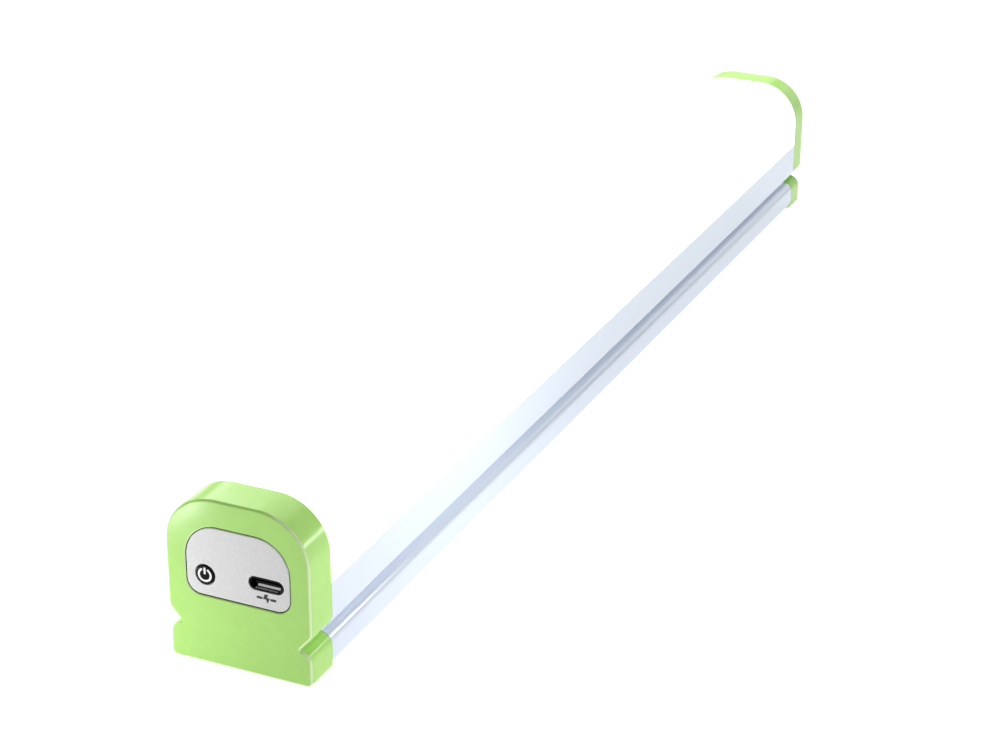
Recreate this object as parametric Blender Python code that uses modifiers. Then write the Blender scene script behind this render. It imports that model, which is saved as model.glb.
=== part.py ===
"""Cordless LED tube lamp: grooved base rail, opal cover, two end caps, control panel and inner parts.

The lamp lies along Y on its flat base. The front cap, with the panel, faces -Y. Units are metres and +Z is
up. The origin is the bottom centre of the whole lamp's bounding box. Outlines are lists of corners
(x, z, corner radius) that run anticlockwise as seen from the front.
"""
import math

import bmesh
import bpy
from mathutils import Matrix, Vector

# Driving dimensions
BODY_LENGTH = 0.353
HALF_WIDTH = 0.019
HEIGHT = 0.0438
TOP_RADIUS = 0.0131
SEAM_Z = 0.0228
GAP = 0.0003
BUTTON_PROUD = 0.0001

# Clip groove along each side
FOOT_HALF_WIDTH = 0.0188
FOOT_TOP_Z = 0.0093
FOOT_RADIUS = 0.0031
GROOVE_HALF_WIDTH = 0.0155
LIP_Z = 0.0133
LIP_RADIUS = 0.0025
CAP_FOOT_CORNER = 0.0013
RAIL_FOOT_CORNER = 0.003

# Places along the lamp
FRONT_Y = -(BODY_LENGTH - BUTTON_PROUD) / 2
REAR_Y = FRONT_Y + BODY_LENGTH
FRONT_CAP_DEPTH = 0.0104
REAR_CAP_DEPTH = 0.0084
BODY_START = FRONT_Y + FRONT_CAP_DEPTH + GAP
BODY_END = REAR_Y - REAR_CAP_DEPTH - GAP

# Walls
RAIL_WALL = 0.0016
COVER_WALL = 0.0016
CAP_WALL = 0.002
FRONT_FACE = 0.0028
REAR_FACE = 0.002
CAP_EDGE = 0.0005

# Snap joint between the cover and the rail
RAIL_INNER_X = HALF_WIDTH - RAIL_WALL
RAIL_LIP_X = RAIL_INNER_X - 0.0005
RAIL_LIP_HEIGHT = 0.0011
TONGUE_OUTER_X = RAIL_LIP_X - GAP
TONGUE_INNER_X = TONGUE_OUTER_X - 0.0008
TONGUE_HOOK = 0.0005
LEDGE_Z = 0.0217
LEDGE_INNER_X = 0.012
LEDGE_OUTER_X = TONGUE_INNER_X - GAP
CHANNEL_Z = 0.0202
LEDGE_BOTTOM_Z = 0.0187

# Control panel, button and USB-C port
PANEL_HALF_WIDTH = 0.0138
PANEL_BOTTOM_Z = 0.0182
PANEL_TOP_Z = 0.0367
PANEL_BOTTOM_RADIUS = 0.0037
PANEL_TOP_RADIUS = 0.0088
PANEL_THICKNESS = 0.001
PANEL_SETBACK = 0.0001
BUTTON_X = -0.0087
BUTTON_Z = 0.02375
BUTTON_RADIUS = 0.0025
BUTTON_EDGE = 0.0003
BUTTON_FLANGE_RADIUS = 0.0036
BUTTON_FLANGE_THICKNESS = 0.0008
BUTTON_TRAVEL = 0.0003
BUTTON_SIDES = 28
PORT_X = 0.0075
PORT_Z = 0.02465
PORT_WIDTH = 0.00894
PORT_HEIGHT = 0.00316
PORT_SHELL = 0.0003
BLADE_WIDTH = 0.0066
BLADE_HEIGHT = 0.0007
BLADE_SETBACK = 0.0009
BLADE_ROOT_LENGTH = 0.0015

# Control board, upright behind the panel
BOARD_FRONT_Y = FRONT_Y + 0.0082
BOARD_THICKNESS = 0.0016
BOARD_BACK_Y = BOARD_FRONT_Y + BOARD_THICKNESS
BOARD_HALF_WIDTH = 0.014
BOARD_BOTTOM_Z = 0.0165
BOARD_TOP_Z = 0.0345
BOARD_CORNER = 0.001
POST_X = 0.0115
POST_Z = 0.0315
POST_RADIUS = 0.0021

# Push switch between the button and the board
SWITCH_SIZE = 0.006
SWITCH_BODY_DEPTH = 0.0024
PLUNGER_RADIUS = 0.0017
PLUNGER_EDGE = 0.0002
DOME_RADIUS = 0.0016
DOME_HEIGHT = 0.0004
DOME_RIM = 0.0001
DOME_CLEARANCE = 0.0002

# Components on the back of the board: name, material, centre x, centre z, then sizes
CHIPS = (
    ("charge_chip", "black_plastic", -0.0075, 0.0245, 0.005, 0.005, 0.001),
    ("led_driver_chip", "black_plastic", 0.0015, 0.0245, 0.004, 0.005, 0.0012),
)
CANS = (
    ("inductor", "ferrite", -0.004, 0.0305, 0.003, 0.0028),
    ("capacitor", "aluminium", 0.0055, 0.0305, 0.0025, 0.005),
)
CAN_EDGE = 0.0004
BATTERY_CONNECTOR = ("battery_connector", "white_plastic", 0.0085, 0.0193, 0.0062, 0.0042, 0.0045)
LED_CONNECTOR = ("led_connector", "white_plastic", 0.010, 0.0250, 0.0052, 0.0042, 0.0035)

# Screws
SHANK_RADIUS = 0.001
SHANK_HOLE_RADIUS = SHANK_RADIUS + GAP
HEAD_RADIUS = 0.0019
HEAD_HEIGHT = 0.0007
HEAD_EDGE = 0.0003
HEAD_SETBACK = 0.0001
POINT_LENGTH = 0.0008
POINT_RADIUS = 0.0003
CROSS_ARM = 0.0011
CROSS_WIDTH = 0.0004
CROSS_DEPTH = 0.0004
COUNTERBORE_RADIUS = 0.0023
COUNTERBORE_DEPTH = 0.001
CAP_SCREW_X = 0.007
CAP_SCREW_INSET = 0.005
CAP_SCREW_LENGTH = 0.0052
BOARD_SCREW_LENGTH = 0.0055

# Spigots that carry the caps in the rail and the cover
SPIGOT_HALF_WIDTH = 0.010
SPIGOT_TOP_Z = 0.007
SPIGOT_REACH = 0.0095
ARCH_WALL = 0.0012
ARCH_REACH = 0.004
ARCH_BOTTOM_Z = 0.0256

# LED carrier and LED board
CARRIER_THICKNESS = 0.0008
LED_BOARD_THICKNESS = 0.001
LED_BOARD_HALF_WIDTH = 0.0145
LED_ROWS_X = (-0.008, 0.008)
LED_COUNT = 30
LED_WIDTH = 0.0028
LED_LENGTH = 0.0035
LED_HEIGHT = 0.0007
LED_END_MARGIN = 0.006
CARRIER_OVERHANG = 0.001

# Battery cells in a row along the rail
CELL_RADIUS = 0.00925
CELL_LENGTH = 0.065
CELL_COUNT = 3
CELL_NUB_RADIUS = 0.0032
CELL_NUB_HEIGHT = 0.0009
CELL_EDGE = 0.0006
CELL_SIDES = 24
FOAM_THICKNESS = 0.001
FOAM_HALF_WIDTH = 0.006
FOAM_MARGIN = 0.005
TAB_THICKNESS = 0.0003
TAB_HALF_HEIGHT = 0.003
TAB_REACH = 0.0115
SPACER_THICKNESS = 0.001
SPACER_RADIUS = 0.0085
CELL_PITCH = CELL_LENGTH + 2 * TAB_THICKNESS + SPACER_THICKNESS + 4 * GAP
CELL_CENTRE_Z = RAIL_WALL + GAP + FOAM_THICKNESS + GAP + CELL_RADIUS

# Wires
BATTERY_WIRE_RADIUS = 0.0007
LED_WIRE_RADIUS = 0.0005
WIRE_SPACING = 0.0013
LEAD_X = 0.0126

# Facets
LARGE_RADIUS = 0.005
LARGE_ARC_STEP = math.radians(9)
SMALL_ARC_STEP = math.radians(22)
ROUND_SIDES = 20
MERGE_DISTANCE = 0.000005
SHARP_ANGLE = math.radians(35)
OVERSHOOT = 0.001

COLOURS = {
    "green_plastic": ((0.42, 0.80, 0.24), 0.35, 0.0),
    "opal_plastic": ((0.95, 0.95, 0.95), 0.4, 0.0),
    "rail_paint": ((0.80, 0.83, 0.90), 0.4, 0.3),
    "grey_plastic": ((0.72, 0.72, 0.72), 0.5, 0.0),
    "black_plastic": ((0.02, 0.02, 0.02), 0.4, 0.0),
    "steel": ((0.60, 0.60, 0.62), 0.3, 1.0),
    "dark_steel": ((0.15, 0.15, 0.16), 0.35, 1.0),
    "circuit_green": ((0.02, 0.16, 0.06), 0.5, 0.0),
    "white_board": ((0.85, 0.85, 0.83), 0.5, 0.0),
    "aluminium": ((0.75, 0.76, 0.78), 0.4, 1.0),
    "ferrite": ((0.06, 0.06, 0.07), 0.7, 0.0),
    "cell_wrap": ((0.05, 0.25, 0.55), 0.35, 0.0),
    "nickel": ((0.66, 0.64, 0.60), 0.35, 1.0),
    "white_plastic": ((0.85, 0.85, 0.85), 0.5, 0.0),
    "foam": ((0.10, 0.10, 0.10), 0.9, 0.0),
    "red_wire": ((0.55, 0.02, 0.02), 0.5, 0.0),
    "black_wire": ((0.02, 0.02, 0.02), 0.5, 0.0),
}


# ---------------------------------------------------------------- scene and materials


def clear_scene():
    for item in list(bpy.data.objects):
        bpy.data.objects.remove(item, do_unlink=True)


def new_collection(name):
    collection = bpy.data.collections.new(name)
    bpy.context.scene.collection.children.link(collection)
    return collection


def new_material(name):
    colour, roughness, metallic = COLOURS[name]
    material = bpy.data.materials.new(name)
    material.use_nodes = True
    shader = material.node_tree.nodes["Principled BSDF"]
    shader.inputs["Base Color"].default_value = (*colour, 1.0)
    shader.inputs["Roughness"].default_value = roughness
    shader.inputs["Metallic"].default_value = metallic
    return material


def finish(item, material_name):
    """Give a sub-part its material and smooth shading with sharp edges, and return it."""
    item.data.materials.clear()
    item.data.materials.append(MATERIALS[material_name])
    item.data.shade_smooth()
    item.data.set_sharp_from_angle(angle=SHARP_ANGLE)
    return item


def as_cutter(item):
    """Move a shape that only cuts or joins others out of the lamp's collection."""
    PARTS.objects.unlink(item)
    CUTTERS.objects.link(item)
    item.hide_render = True
    item.display_type = "WIRE"
    return item


# ---------------------------------------------------------------- outlines


def rounded(corners):
    """Return the points of a closed outline, with each corner (x, z, radius) drawn as an arc."""
    points = []
    for index, (x, z, radius) in enumerate(corners):
        corner = Vector((x, z))
        if radius == 0.0:
            points.append(corner)
            continue
        to_previous = (Vector(corners[index - 1][:2]) - corner).normalized()
        to_next = (Vector(corners[(index + 1) % len(corners)][:2]) - corner).normalized()
        half_angle = to_previous.angle(to_next) / 2
        centre = corner + (to_previous + to_next).normalized() * radius / math.sin(half_angle)
        tangent = radius / math.tan(half_angle)
        first = (corner + to_previous * tangent - centre).normalized()
        last = (corner + to_next * tangent - centre).normalized()
        arc_step = LARGE_ARC_STEP if radius > LARGE_RADIUS else SMALL_ARC_STEP
        steps = max(1, round(first.angle(last) / arc_step))
        points += [centre + first.slerp(last, step / steps) * radius for step in range(steps + 1)]
    return points


def inset(corners, distance):
    """Return the corners of an anticlockwise outline moved inwards by a distance."""
    moved = []
    for index, (x, z, radius) in enumerate(corners):
        corner = Vector((x, z))
        incoming = (corner - Vector(corners[index - 1][:2])).normalized()
        outgoing = (Vector(corners[(index + 1) % len(corners)][:2]) - corner).normalized()
        normals = Vector((-incoming.y, incoming.x)), Vector((-outgoing.y, outgoing.x))
        place = corner + (normals[0] + normals[1]) * distance / (1 + normals[0].dot(normals[1]))
        is_convex = incoming.cross(outgoing) > 0
        new_radius = max(0.0, radius - distance) if is_convex else radius + distance
        moved.append((place.x, place.y, new_radius))
    return moved


def mirrored(right_half):
    """Return a whole outline from the corners of its right half, which run upwards."""
    left_half = [(-x, z, radius) for x, z, radius in reversed(right_half)]
    return right_half + left_half


def rectangle(x_low, x_high, z_low, z_high, radius=0.0):
    places = [(x_low, z_low), (x_high, z_low), (x_high, z_high), (x_low, z_high)]
    return [(x, z, radius) for x, z in places]


def slot_outline(width, height):
    """Return the corners of a slot with round ends, centred on the USB-C port."""
    end_radius = height / 2 * 0.999
    return rectangle(
        PORT_X - width / 2, PORT_X + width / 2, PORT_Z - height / 2, PORT_Z + height / 2, end_radius
    )


def lamp_outline(foot_corner):
    """Return the outer corners shared by the caps, the rail and the cover."""
    return mirrored([
        (FOOT_HALF_WIDTH, 0.0, foot_corner),
        (FOOT_HALF_WIDTH, FOOT_TOP_Z, FOOT_RADIUS),
        (GROOVE_HALF_WIDTH, FOOT_TOP_Z, 0.0),
        (HALF_WIDTH, LIP_Z, LIP_RADIUS),
        (HALF_WIDTH, HEIGHT, TOP_RADIUS),
    ])


def panel_outline():
    return mirrored([
        (PANEL_HALF_WIDTH, PANEL_BOTTOM_Z, PANEL_BOTTOM_RADIUS),
        (PANEL_HALF_WIDTH, PANEL_TOP_Z, PANEL_TOP_RADIUS),
    ])


# ---------------------------------------------------------------- basic shapes


def add_mesh(name, mesh, matrix=None):
    item = bpy.data.objects.new(name, mesh)
    PARTS.objects.link(item)
    if matrix is not None:
        item.matrix_world = matrix
    return item


def curve_to_mesh(name, curve_object):
    """Replace a curve object by a mesh object with welded caps, in the same place."""
    bpy.context.view_layer.update()
    evaluated = curve_object.evaluated_get(bpy.context.evaluated_depsgraph_get())
    mesh = bpy.data.meshes.new_from_object(evaluated)
    matrix = curve_object.matrix_world.copy()
    bpy.data.objects.remove(curve_object, do_unlink=True)
    work = bmesh.new()
    work.from_mesh(mesh)
    bmesh.ops.remove_doubles(work, verts=work.verts, dist=MERGE_DISTANCE)
    bmesh.ops.recalc_face_normals(work, faces=work.faces)
    work.to_mesh(mesh)
    work.free()
    return add_mesh(name, mesh, matrix)


def prism(name, corners, y_front, y_back):
    """Extrude an outline of corners along Y."""
    curve = bpy.data.curves.new(name + "_outline", "CURVE")
    curve.dimensions = "2D"
    curve.fill_mode = "BOTH"
    curve.extrude = (y_back - y_front) / 2
    points = rounded(corners)
    spline = curve.splines.new("POLY")
    spline.points.add(len(points) - 1)
    for spline_point, point in zip(spline.points, points):
        spline_point.co = (point.x, point.y, 0.0, 1.0)
    spline.use_cyclic_u = True
    curve_object = bpy.data.objects.new(name + "_outline", curve)
    PARTS.objects.link(curve_object)
    curve_object.location = (0.0, (y_front + y_back) / 2, 0.0)
    curve_object.rotation_euler = (math.radians(90), 0.0, 0.0)
    return curve_to_mesh(name, curve_object)


def box(name, low, high):
    """Make a box between its low and high corners."""
    size = Vector(high) - Vector(low)
    centre = (Vector(high) + Vector(low)) / 2
    work = bmesh.new()
    bmesh.ops.create_cube(work, size=1.0, matrix=Matrix.Diagonal((*size, 1.0)))
    mesh = bpy.data.meshes.new(name)
    work.to_mesh(mesh)
    work.free()
    return add_mesh(name, mesh, Matrix.Translation(centre))


def rod(name, start, end, radius, sides=ROUND_SIDES):
    """Make a round bar between two points on its axis."""
    axis = Vector(end) - Vector(start)
    work = bmesh.new()
    bmesh.ops.create_cone(
        work, cap_ends=True, segments=sides, radius1=radius, radius2=radius, depth=axis.length
    )
    mesh = bpy.data.meshes.new(name)
    work.to_mesh(mesh)
    work.free()
    turn = Vector((0.0, 0.0, 1.0)).rotation_difference(axis).to_matrix().to_4x4()
    return add_mesh(name, mesh, Matrix.Translation((Vector(start) + Vector(end)) / 2) @ turn)


def turned(name, profile, place, towards, sides=ROUND_SIDES):
    """Turn a profile of (radius, height) points, top to bottom, about an axis that points towards."""
    mesh = bpy.data.meshes.new(name)
    places = [(radius, 0.0, height) for radius, height in profile]
    edges = [(index, index + 1) for index in range(len(profile) - 1)]
    mesh.from_pydata(places, edges, [])
    turn = Vector((0.0, 0.0, 1.0)).rotation_difference(Vector(towards)).to_matrix().to_4x4()
    item = add_mesh(name, mesh, Matrix.Translation(place) @ turn)
    screw = item.modifiers.new("turn", "SCREW")
    screw.axis = "Z"
    screw.steps = sides
    screw.render_steps = sides
    screw.use_smooth_shade = True
    screw.use_merge_vertices = True
    screw.merge_threshold = MERGE_DISTANCE
    return item


def wire(name, points, radius):
    """Run a wire through points in world places."""
    curve = bpy.data.curves.new(name + "_path", "CURVE")
    curve.dimensions = "3D"
    curve.bevel_depth = radius
    curve.bevel_resolution = 2
    curve.use_fill_caps = True
    spline = curve.splines.new("POLY")
    spline.points.add(len(points) - 1)
    for spline_point, point in zip(spline.points, points):
        spline_point.co = (*point, 1.0)
    curve_object = bpy.data.objects.new(name + "_path", curve)
    PARTS.objects.link(curve_object)
    return curve_to_mesh(name, curve_object)


def combine(item, other, operation):
    modifier = item.modifiers.new(other.name, "BOOLEAN")
    modifier.operation = operation
    modifier.solver = "EXACT"
    modifier.object = other


def cut(item, cutter):
    combine(item, as_cutter(cutter), "DIFFERENCE")


def join(item, addition):
    combine(item, as_cutter(addition), "UNION")


def round_end_edge(item, y_end):
    """Bevel the edges of a prism's end face that lies at y_end."""
    work = bmesh.new()
    work.from_mesh(item.data)
    bmesh.ops.dissolve_limit(work, angle_limit=math.radians(1), verts=work.verts, edges=work.edges)
    ends = [
        edge for edge in work.edges
        if all(abs((item.matrix_world @ vert.co).y - y_end) < GAP for vert in edge.verts)
    ]
    bmesh.ops.bevel(work, geom=ends, offset=CAP_EDGE, segments=2, profile=0.5, affect="EDGES")
    work.to_mesh(item.data)
    work.free()


# ---------------------------------------------------------------- housing


def make_base_rail():
    """Make the rail: a U-shaped extrusion with clip grooves, a snap lip and a ledge on each side."""
    outside = lamp_outline(RAIL_FOOT_CORNER)
    inside = inset(outside, RAIL_WALL)
    outer_right = [*outside[:4], (HALF_WIDTH, SEAM_Z, 0.0)]
    inner_right = [
        (RAIL_LIP_X, SEAM_Z, 0.0),
        (RAIL_LIP_X, SEAM_Z - RAIL_LIP_HEIGHT, 0.0),
        (RAIL_INNER_X, SEAM_Z - RAIL_LIP_HEIGHT, 0.0),
        (RAIL_INNER_X, CHANNEL_Z, 0.0),
        (LEDGE_OUTER_X, CHANNEL_Z, 0.0),
        (LEDGE_OUTER_X, LEDGE_Z, 0.0),
        (LEDGE_INNER_X, LEDGE_Z, 0.0),
        (LEDGE_INNER_X, CHANNEL_Z, 0.0),
        (LEDGE_OUTER_X, LEDGE_BOTTOM_Z, 0.0),
        (RAIL_INNER_X, LEDGE_BOTTOM_Z, 0.0),
        *reversed(inside[:4]),
    ]
    rail = prism("base_rail", mirrored(outer_right + inner_right), BODY_START, BODY_END)
    for screw_y in (BODY_START + CAP_SCREW_INSET, BODY_END - CAP_SCREW_INSET):
        for screw_x in (-CAP_SCREW_X, CAP_SCREW_X):
            bottom = (screw_x, screw_y, -OVERSHOOT)
            cut(rail, rod("rail_hole", bottom, (screw_x, screw_y, RAIL_WALL + OVERSHOOT), SHANK_HOLE_RADIUS))
            cut(rail, rod("rail_bore", bottom, (screw_x, screw_y, COUNTERBORE_DEPTH), COUNTERBORE_RADIUS))
    return finish(rail, "rail_paint")


def make_diffuser_cover():
    """Make the opal cover: an arch with a hooked tongue that snaps into the rail on each side."""
    cover_bottom = SEAM_Z + GAP
    hook_top = SEAM_Z - RAIL_LIP_HEIGHT - GAP
    tongue_bottom = CHANNEL_Z + GAP
    shelf_z = cover_bottom + COVER_WALL
    right_half = [
        (TONGUE_INNER_X, shelf_z, 0.0),
        (TONGUE_INNER_X, tongue_bottom, 0.0),
        (TONGUE_OUTER_X + TONGUE_HOOK, tongue_bottom, 0.0),
        (TONGUE_OUTER_X + TONGUE_HOOK, hook_top, 0.0),
        (TONGUE_OUTER_X, hook_top, 0.0),
        (TONGUE_OUTER_X, cover_bottom, 0.0),
        (HALF_WIDTH, cover_bottom, 0.0),
        (HALF_WIDTH, HEIGHT, TOP_RADIUS),
    ]
    inner_right = [
        (HALF_WIDTH - COVER_WALL, HEIGHT - COVER_WALL, TOP_RADIUS - COVER_WALL),
        (HALF_WIDTH - COVER_WALL, shelf_z, 0.0),
    ]
    left_half = [(-x, z, radius) for x, z, radius in reversed(right_half)]
    inner_left = [(-x, z, radius) for x, z, radius in reversed(inner_right)]
    outline = right_half + left_half + inner_left + inner_right
    return finish(prism("diffuser_cover", outline, BODY_START, BODY_END), "opal_plastic")


def join_arch(cap, y_front, y_back):
    """Join the arch that carries the cover to a cap."""
    arch = prism("cap_arch", inset(lamp_outline(CAP_FOOT_CORNER), RAIL_WALL + GAP), y_front, y_back)
    inner = inset(lamp_outline(CAP_FOOT_CORNER), RAIL_WALL + GAP + ARCH_WALL)
    cut(arch, prism("cap_arch_inside", inner, y_front - OVERSHOOT, y_back + OVERSHOOT))
    low = (-HALF_WIDTH, y_front - OVERSHOOT, -OVERSHOOT)
    cut(arch, box("cap_arch_trim", low, (HALF_WIDTH, y_back + OVERSHOOT, ARCH_BOTTOM_Z)))
    join(cap, arch)


def join_spigot(cap, y_front, y_back, screw_y):
    """Join the flat spigot that the rail's screws hold to a cap."""
    low = (-SPIGOT_HALF_WIDTH, y_front, RAIL_WALL + GAP)
    join(cap, box("cap_spigot", low, (SPIGOT_HALF_WIDTH, y_back, SPIGOT_TOP_Z)))
    for screw_x in (-CAP_SCREW_X, CAP_SCREW_X):
        top = (screw_x, screw_y, SPIGOT_TOP_Z + OVERSHOOT)
        cut(cap, rod("spigot_hole", (screw_x, screw_y, 0.0), top, SHANK_HOLE_RADIUS))


def make_front_cap():
    """Make the front cap: a hollow block with a panel recess, board posts, an arch and a spigot."""
    outside = lamp_outline(CAP_FOOT_CORNER)
    back_y = FRONT_Y + FRONT_CAP_DEPTH
    cap = prism("front_cap", outside, FRONT_Y, back_y)
    round_end_edge(cap, FRONT_Y)
    pocket_y = FRONT_Y + FRONT_FACE
    cut(cap, prism("front_cap_pocket", inset(outside, CAP_WALL), pocket_y, back_y + OVERSHOOT))
    recess_y = FRONT_Y + PANEL_SETBACK + PANEL_THICKNESS + GAP
    cut(cap, prism("panel_recess", inset(panel_outline(), -GAP), FRONT_Y - OVERSHOOT, recess_y))
    join_arch(cap, back_y - ARCH_REACH, BODY_START + ARCH_REACH)
    join_spigot(cap, pocket_y - CAP_EDGE, BODY_START + SPIGOT_REACH, BODY_START + CAP_SCREW_INSET)
    for side in (-1, 1):
        root = Vector((side * POST_X, pocket_y - CAP_EDGE, POST_Z))
        tip = Vector((side * POST_X, BOARD_FRONT_Y - GAP, POST_Z))
        join(cap, rod("board_post", root, tip, POST_RADIUS))
        behind = tip + Vector((0.0, OVERSHOOT, 0.0))
        cut(cap, rod("post_hole", root + Vector((0.0, OVERSHOOT, 0.0)), behind, SHANK_HOLE_RADIUS))
    button_axis = Vector((BUTTON_X, FRONT_Y, BUTTON_Z))
    cut(cap, rod("cap_button_hole", button_axis, button_axis + Vector((0.0, CAP_WALL * 2, 0.0)),
                 BUTTON_RADIUS + GAP))
    port_hole = slot_outline(PORT_WIDTH + 2 * GAP, PORT_HEIGHT + 2 * GAP)
    cut(cap, prism("cap_port_hole", port_hole, FRONT_Y - OVERSHOOT, pocket_y + OVERSHOOT))
    return finish(cap, "green_plastic")


def make_rear_cap():
    """Make the rear cap: a shallower hollow block with a plain face, an arch and a spigot."""
    outside = lamp_outline(CAP_FOOT_CORNER)
    front_y = REAR_Y - REAR_CAP_DEPTH
    cap = prism("rear_cap", outside, front_y, REAR_Y)
    round_end_edge(cap, REAR_Y)
    pocket_y = REAR_Y - REAR_FACE
    cut(cap, prism("rear_cap_pocket", inset(outside, CAP_WALL), front_y - OVERSHOOT, pocket_y))
    join_arch(cap, BODY_END - ARCH_REACH, front_y + ARCH_REACH)
    join_spigot(cap, BODY_END - SPIGOT_REACH, pocket_y + CAP_EDGE, BODY_END - CAP_SCREW_INSET)
    return finish(cap, "green_plastic")


def make_control_panel():
    """Make the panel plate with its button hole and port slot."""
    front_y = FRONT_Y + PANEL_SETBACK
    back_y = front_y + PANEL_THICKNESS
    panel = prism("control_panel", panel_outline(), front_y, back_y)
    start = (BUTTON_X, front_y - OVERSHOOT, BUTTON_Z)
    end = (BUTTON_X, back_y + OVERSHOOT, BUTTON_Z)
    cut(panel, rod("panel_button_hole", start, end, BUTTON_RADIUS + GAP))
    slot = slot_outline(PORT_WIDTH + 2 * GAP, PORT_HEIGHT + 2 * GAP)
    cut(panel, prism("panel_port_hole", slot, front_y - OVERSHOOT, back_y + OVERSHOOT))
    return finish(panel, "grey_plastic")


# ---------------------------------------------------------------- button and switch


def make_power_button():
    """Make the button, which a flange keeps behind the cap's face. Its origin is on its push axis."""
    flange_front = -(FRONT_FACE + GAP)
    flange_back = flange_front - BUTTON_FLANGE_THICKNESS
    profile = [
        (0.0, BUTTON_PROUD),
        (BUTTON_RADIUS - BUTTON_EDGE, BUTTON_PROUD),
        (BUTTON_RADIUS, BUTTON_PROUD - BUTTON_EDGE),
        (BUTTON_RADIUS, flange_front),
        (BUTTON_FLANGE_RADIUS, flange_front),
        (BUTTON_FLANGE_RADIUS, flange_back),
        (0.0, flange_back),
    ]
    place = (BUTTON_X, FRONT_Y, BUTTON_Z)
    button = turned("power_button", profile, place, (0.0, -1.0, 0.0), BUTTON_SIDES)
    return finish(button, "black_plastic")


def on_push_axis(y):
    return Vector((BUTTON_X, y, BUTTON_Z))


def switch_plate(name, y_front, y_back, hole_back):
    """Make a square plate of the switch with a round hole from its front."""
    half = SWITCH_SIZE / 2
    low = (BUTTON_X - half, y_front, BUTTON_Z - half)
    plate = box(name, low, (BUTTON_X + half, y_back, BUTTON_Z + half))
    hole_front = on_push_axis(y_front - OVERSHOOT)
    cut(plate, rod(name + "_hole", hole_front, on_push_axis(hole_back), PLUNGER_RADIUS + GAP))
    return plate


def make_switch():
    """Make the push switch: body on the board, cover plate, plunger and snap dome."""
    body_back = BOARD_FRONT_Y - GAP
    body_front = body_back - SWITCH_BODY_DEPTH
    cover_back = body_front - GAP
    cover_front = cover_back - GAP
    cavity_back = body_back - GAP
    dome_rim_y = cavity_back - DOME_RIM
    plunger_front = FRONT_Y + FRONT_FACE + GAP + BUTTON_FLANGE_THICKNESS + GAP
    plunger_back = dome_rim_y - DOME_HEIGHT - DOME_CLEARANCE - BUTTON_TRAVEL
    plunger_length = plunger_back - plunger_front

    finish(switch_plate("switch_body", body_front, body_back, cavity_back), "black_plastic")
    finish(switch_plate("switch_cover", cover_front, cover_back, cover_back + OVERSHOOT), "steel")

    plunger_profile = [
        (0.0, 0.0),
        (PLUNGER_RADIUS - PLUNGER_EDGE, 0.0),
        (PLUNGER_RADIUS, -PLUNGER_EDGE),
        (PLUNGER_RADIUS, -plunger_length),
        (0.0, -plunger_length),
    ]
    plunger = turned("switch_plunger", plunger_profile, on_push_axis(plunger_front), (0.0, -1.0, 0.0))
    finish(plunger, "black_plastic")

    dome_profile = [
        (0.0, DOME_HEIGHT),
        (DOME_RADIUS / 2, DOME_HEIGHT * 0.8),
        (DOME_RADIUS, DOME_RIM),
        (DOME_RADIUS, 0.0),
        (0.0, 0.0),
    ]
    finish(turned("switch_dome", dome_profile, on_push_axis(dome_rim_y), (0.0, -1.0, 0.0)), "steel")


# ---------------------------------------------------------------- port, board and components


def make_usb_port():
    """Make the port's steel shell, closed at its back, and the contact tongue inside it."""
    mouth_y = FRONT_Y + PANEL_SETBACK
    back_y = BOARD_FRONT_Y - GAP
    inside_back = back_y - PORT_SHELL
    inner_width = PORT_WIDTH - 2 * PORT_SHELL
    inner_height = PORT_HEIGHT - 2 * PORT_SHELL
    shell = prism("usb_port_shell", slot_outline(PORT_WIDTH, PORT_HEIGHT), mouth_y, back_y)
    inner_slot = slot_outline(inner_width, inner_height)
    cut(shell, prism("port_inside", inner_slot, mouth_y - OVERSHOOT, inside_back))
    finish(shell, "dark_steel")

    root_y = inside_back - BLADE_ROOT_LENGTH
    base_outline = slot_outline(inner_width - 2 * GAP, inner_height - 2 * GAP)
    tongue = prism("usb_port_tongue", base_outline, root_y, inside_back - GAP)
    low = (PORT_X - BLADE_WIDTH / 2, mouth_y + BLADE_SETBACK, PORT_Z - BLADE_HEIGHT / 2)
    high = (PORT_X + BLADE_WIDTH / 2, root_y + GAP, PORT_Z + BLADE_HEIGHT / 2)
    join(tongue, box("port_tongue_blade", low, high))
    finish(tongue, "black_plastic")


def make_control_board():
    """Make the upright circuit board with its two screw holes."""
    outline = rectangle(-BOARD_HALF_WIDTH, BOARD_HALF_WIDTH, BOARD_BOTTOM_Z, BOARD_TOP_Z, BOARD_CORNER)
    board = prism("control_board", outline, BOARD_FRONT_Y, BOARD_BACK_Y)
    for side in (-1, 1):
        start = (side * POST_X, BOARD_FRONT_Y - OVERSHOOT, POST_Z)
        end = (side * POST_X, BOARD_BACK_Y + OVERSHOOT, POST_Z)
        cut(board, rod("board_hole", start, end, SHANK_HOLE_RADIUS))
    return finish(board, "circuit_green")


def make_board_box(name, material_name, centre_x, centre_z, width, height, depth):
    """Make a square component that sits on the back of the control board."""
    low = (centre_x - width / 2, BOARD_BACK_Y + GAP, centre_z - height / 2)
    high = (centre_x + width / 2, BOARD_BACK_Y + GAP + depth, centre_z + height / 2)
    return finish(box(name, low, high), material_name)


def make_board_can(name, material_name, centre_x, centre_z, radius, depth):
    """Make a round component that stands on the back of the control board."""
    profile = [
        (0.0, depth),
        (radius - CAN_EDGE, depth),
        (radius, depth - CAN_EDGE),
        (radius, 0.0),
        (0.0, 0.0),
    ]
    place = (centre_x, BOARD_BACK_Y + GAP, centre_z)
    return finish(turned(name, profile, place, (0.0, 1.0, 0.0)), material_name)


def make_board_components():
    for chip in (*CHIPS, BATTERY_CONNECTOR, LED_CONNECTOR):
        make_board_box(*chip)
    for can in CANS:
        make_board_can(*can)


# ---------------------------------------------------------------- screws


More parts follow.
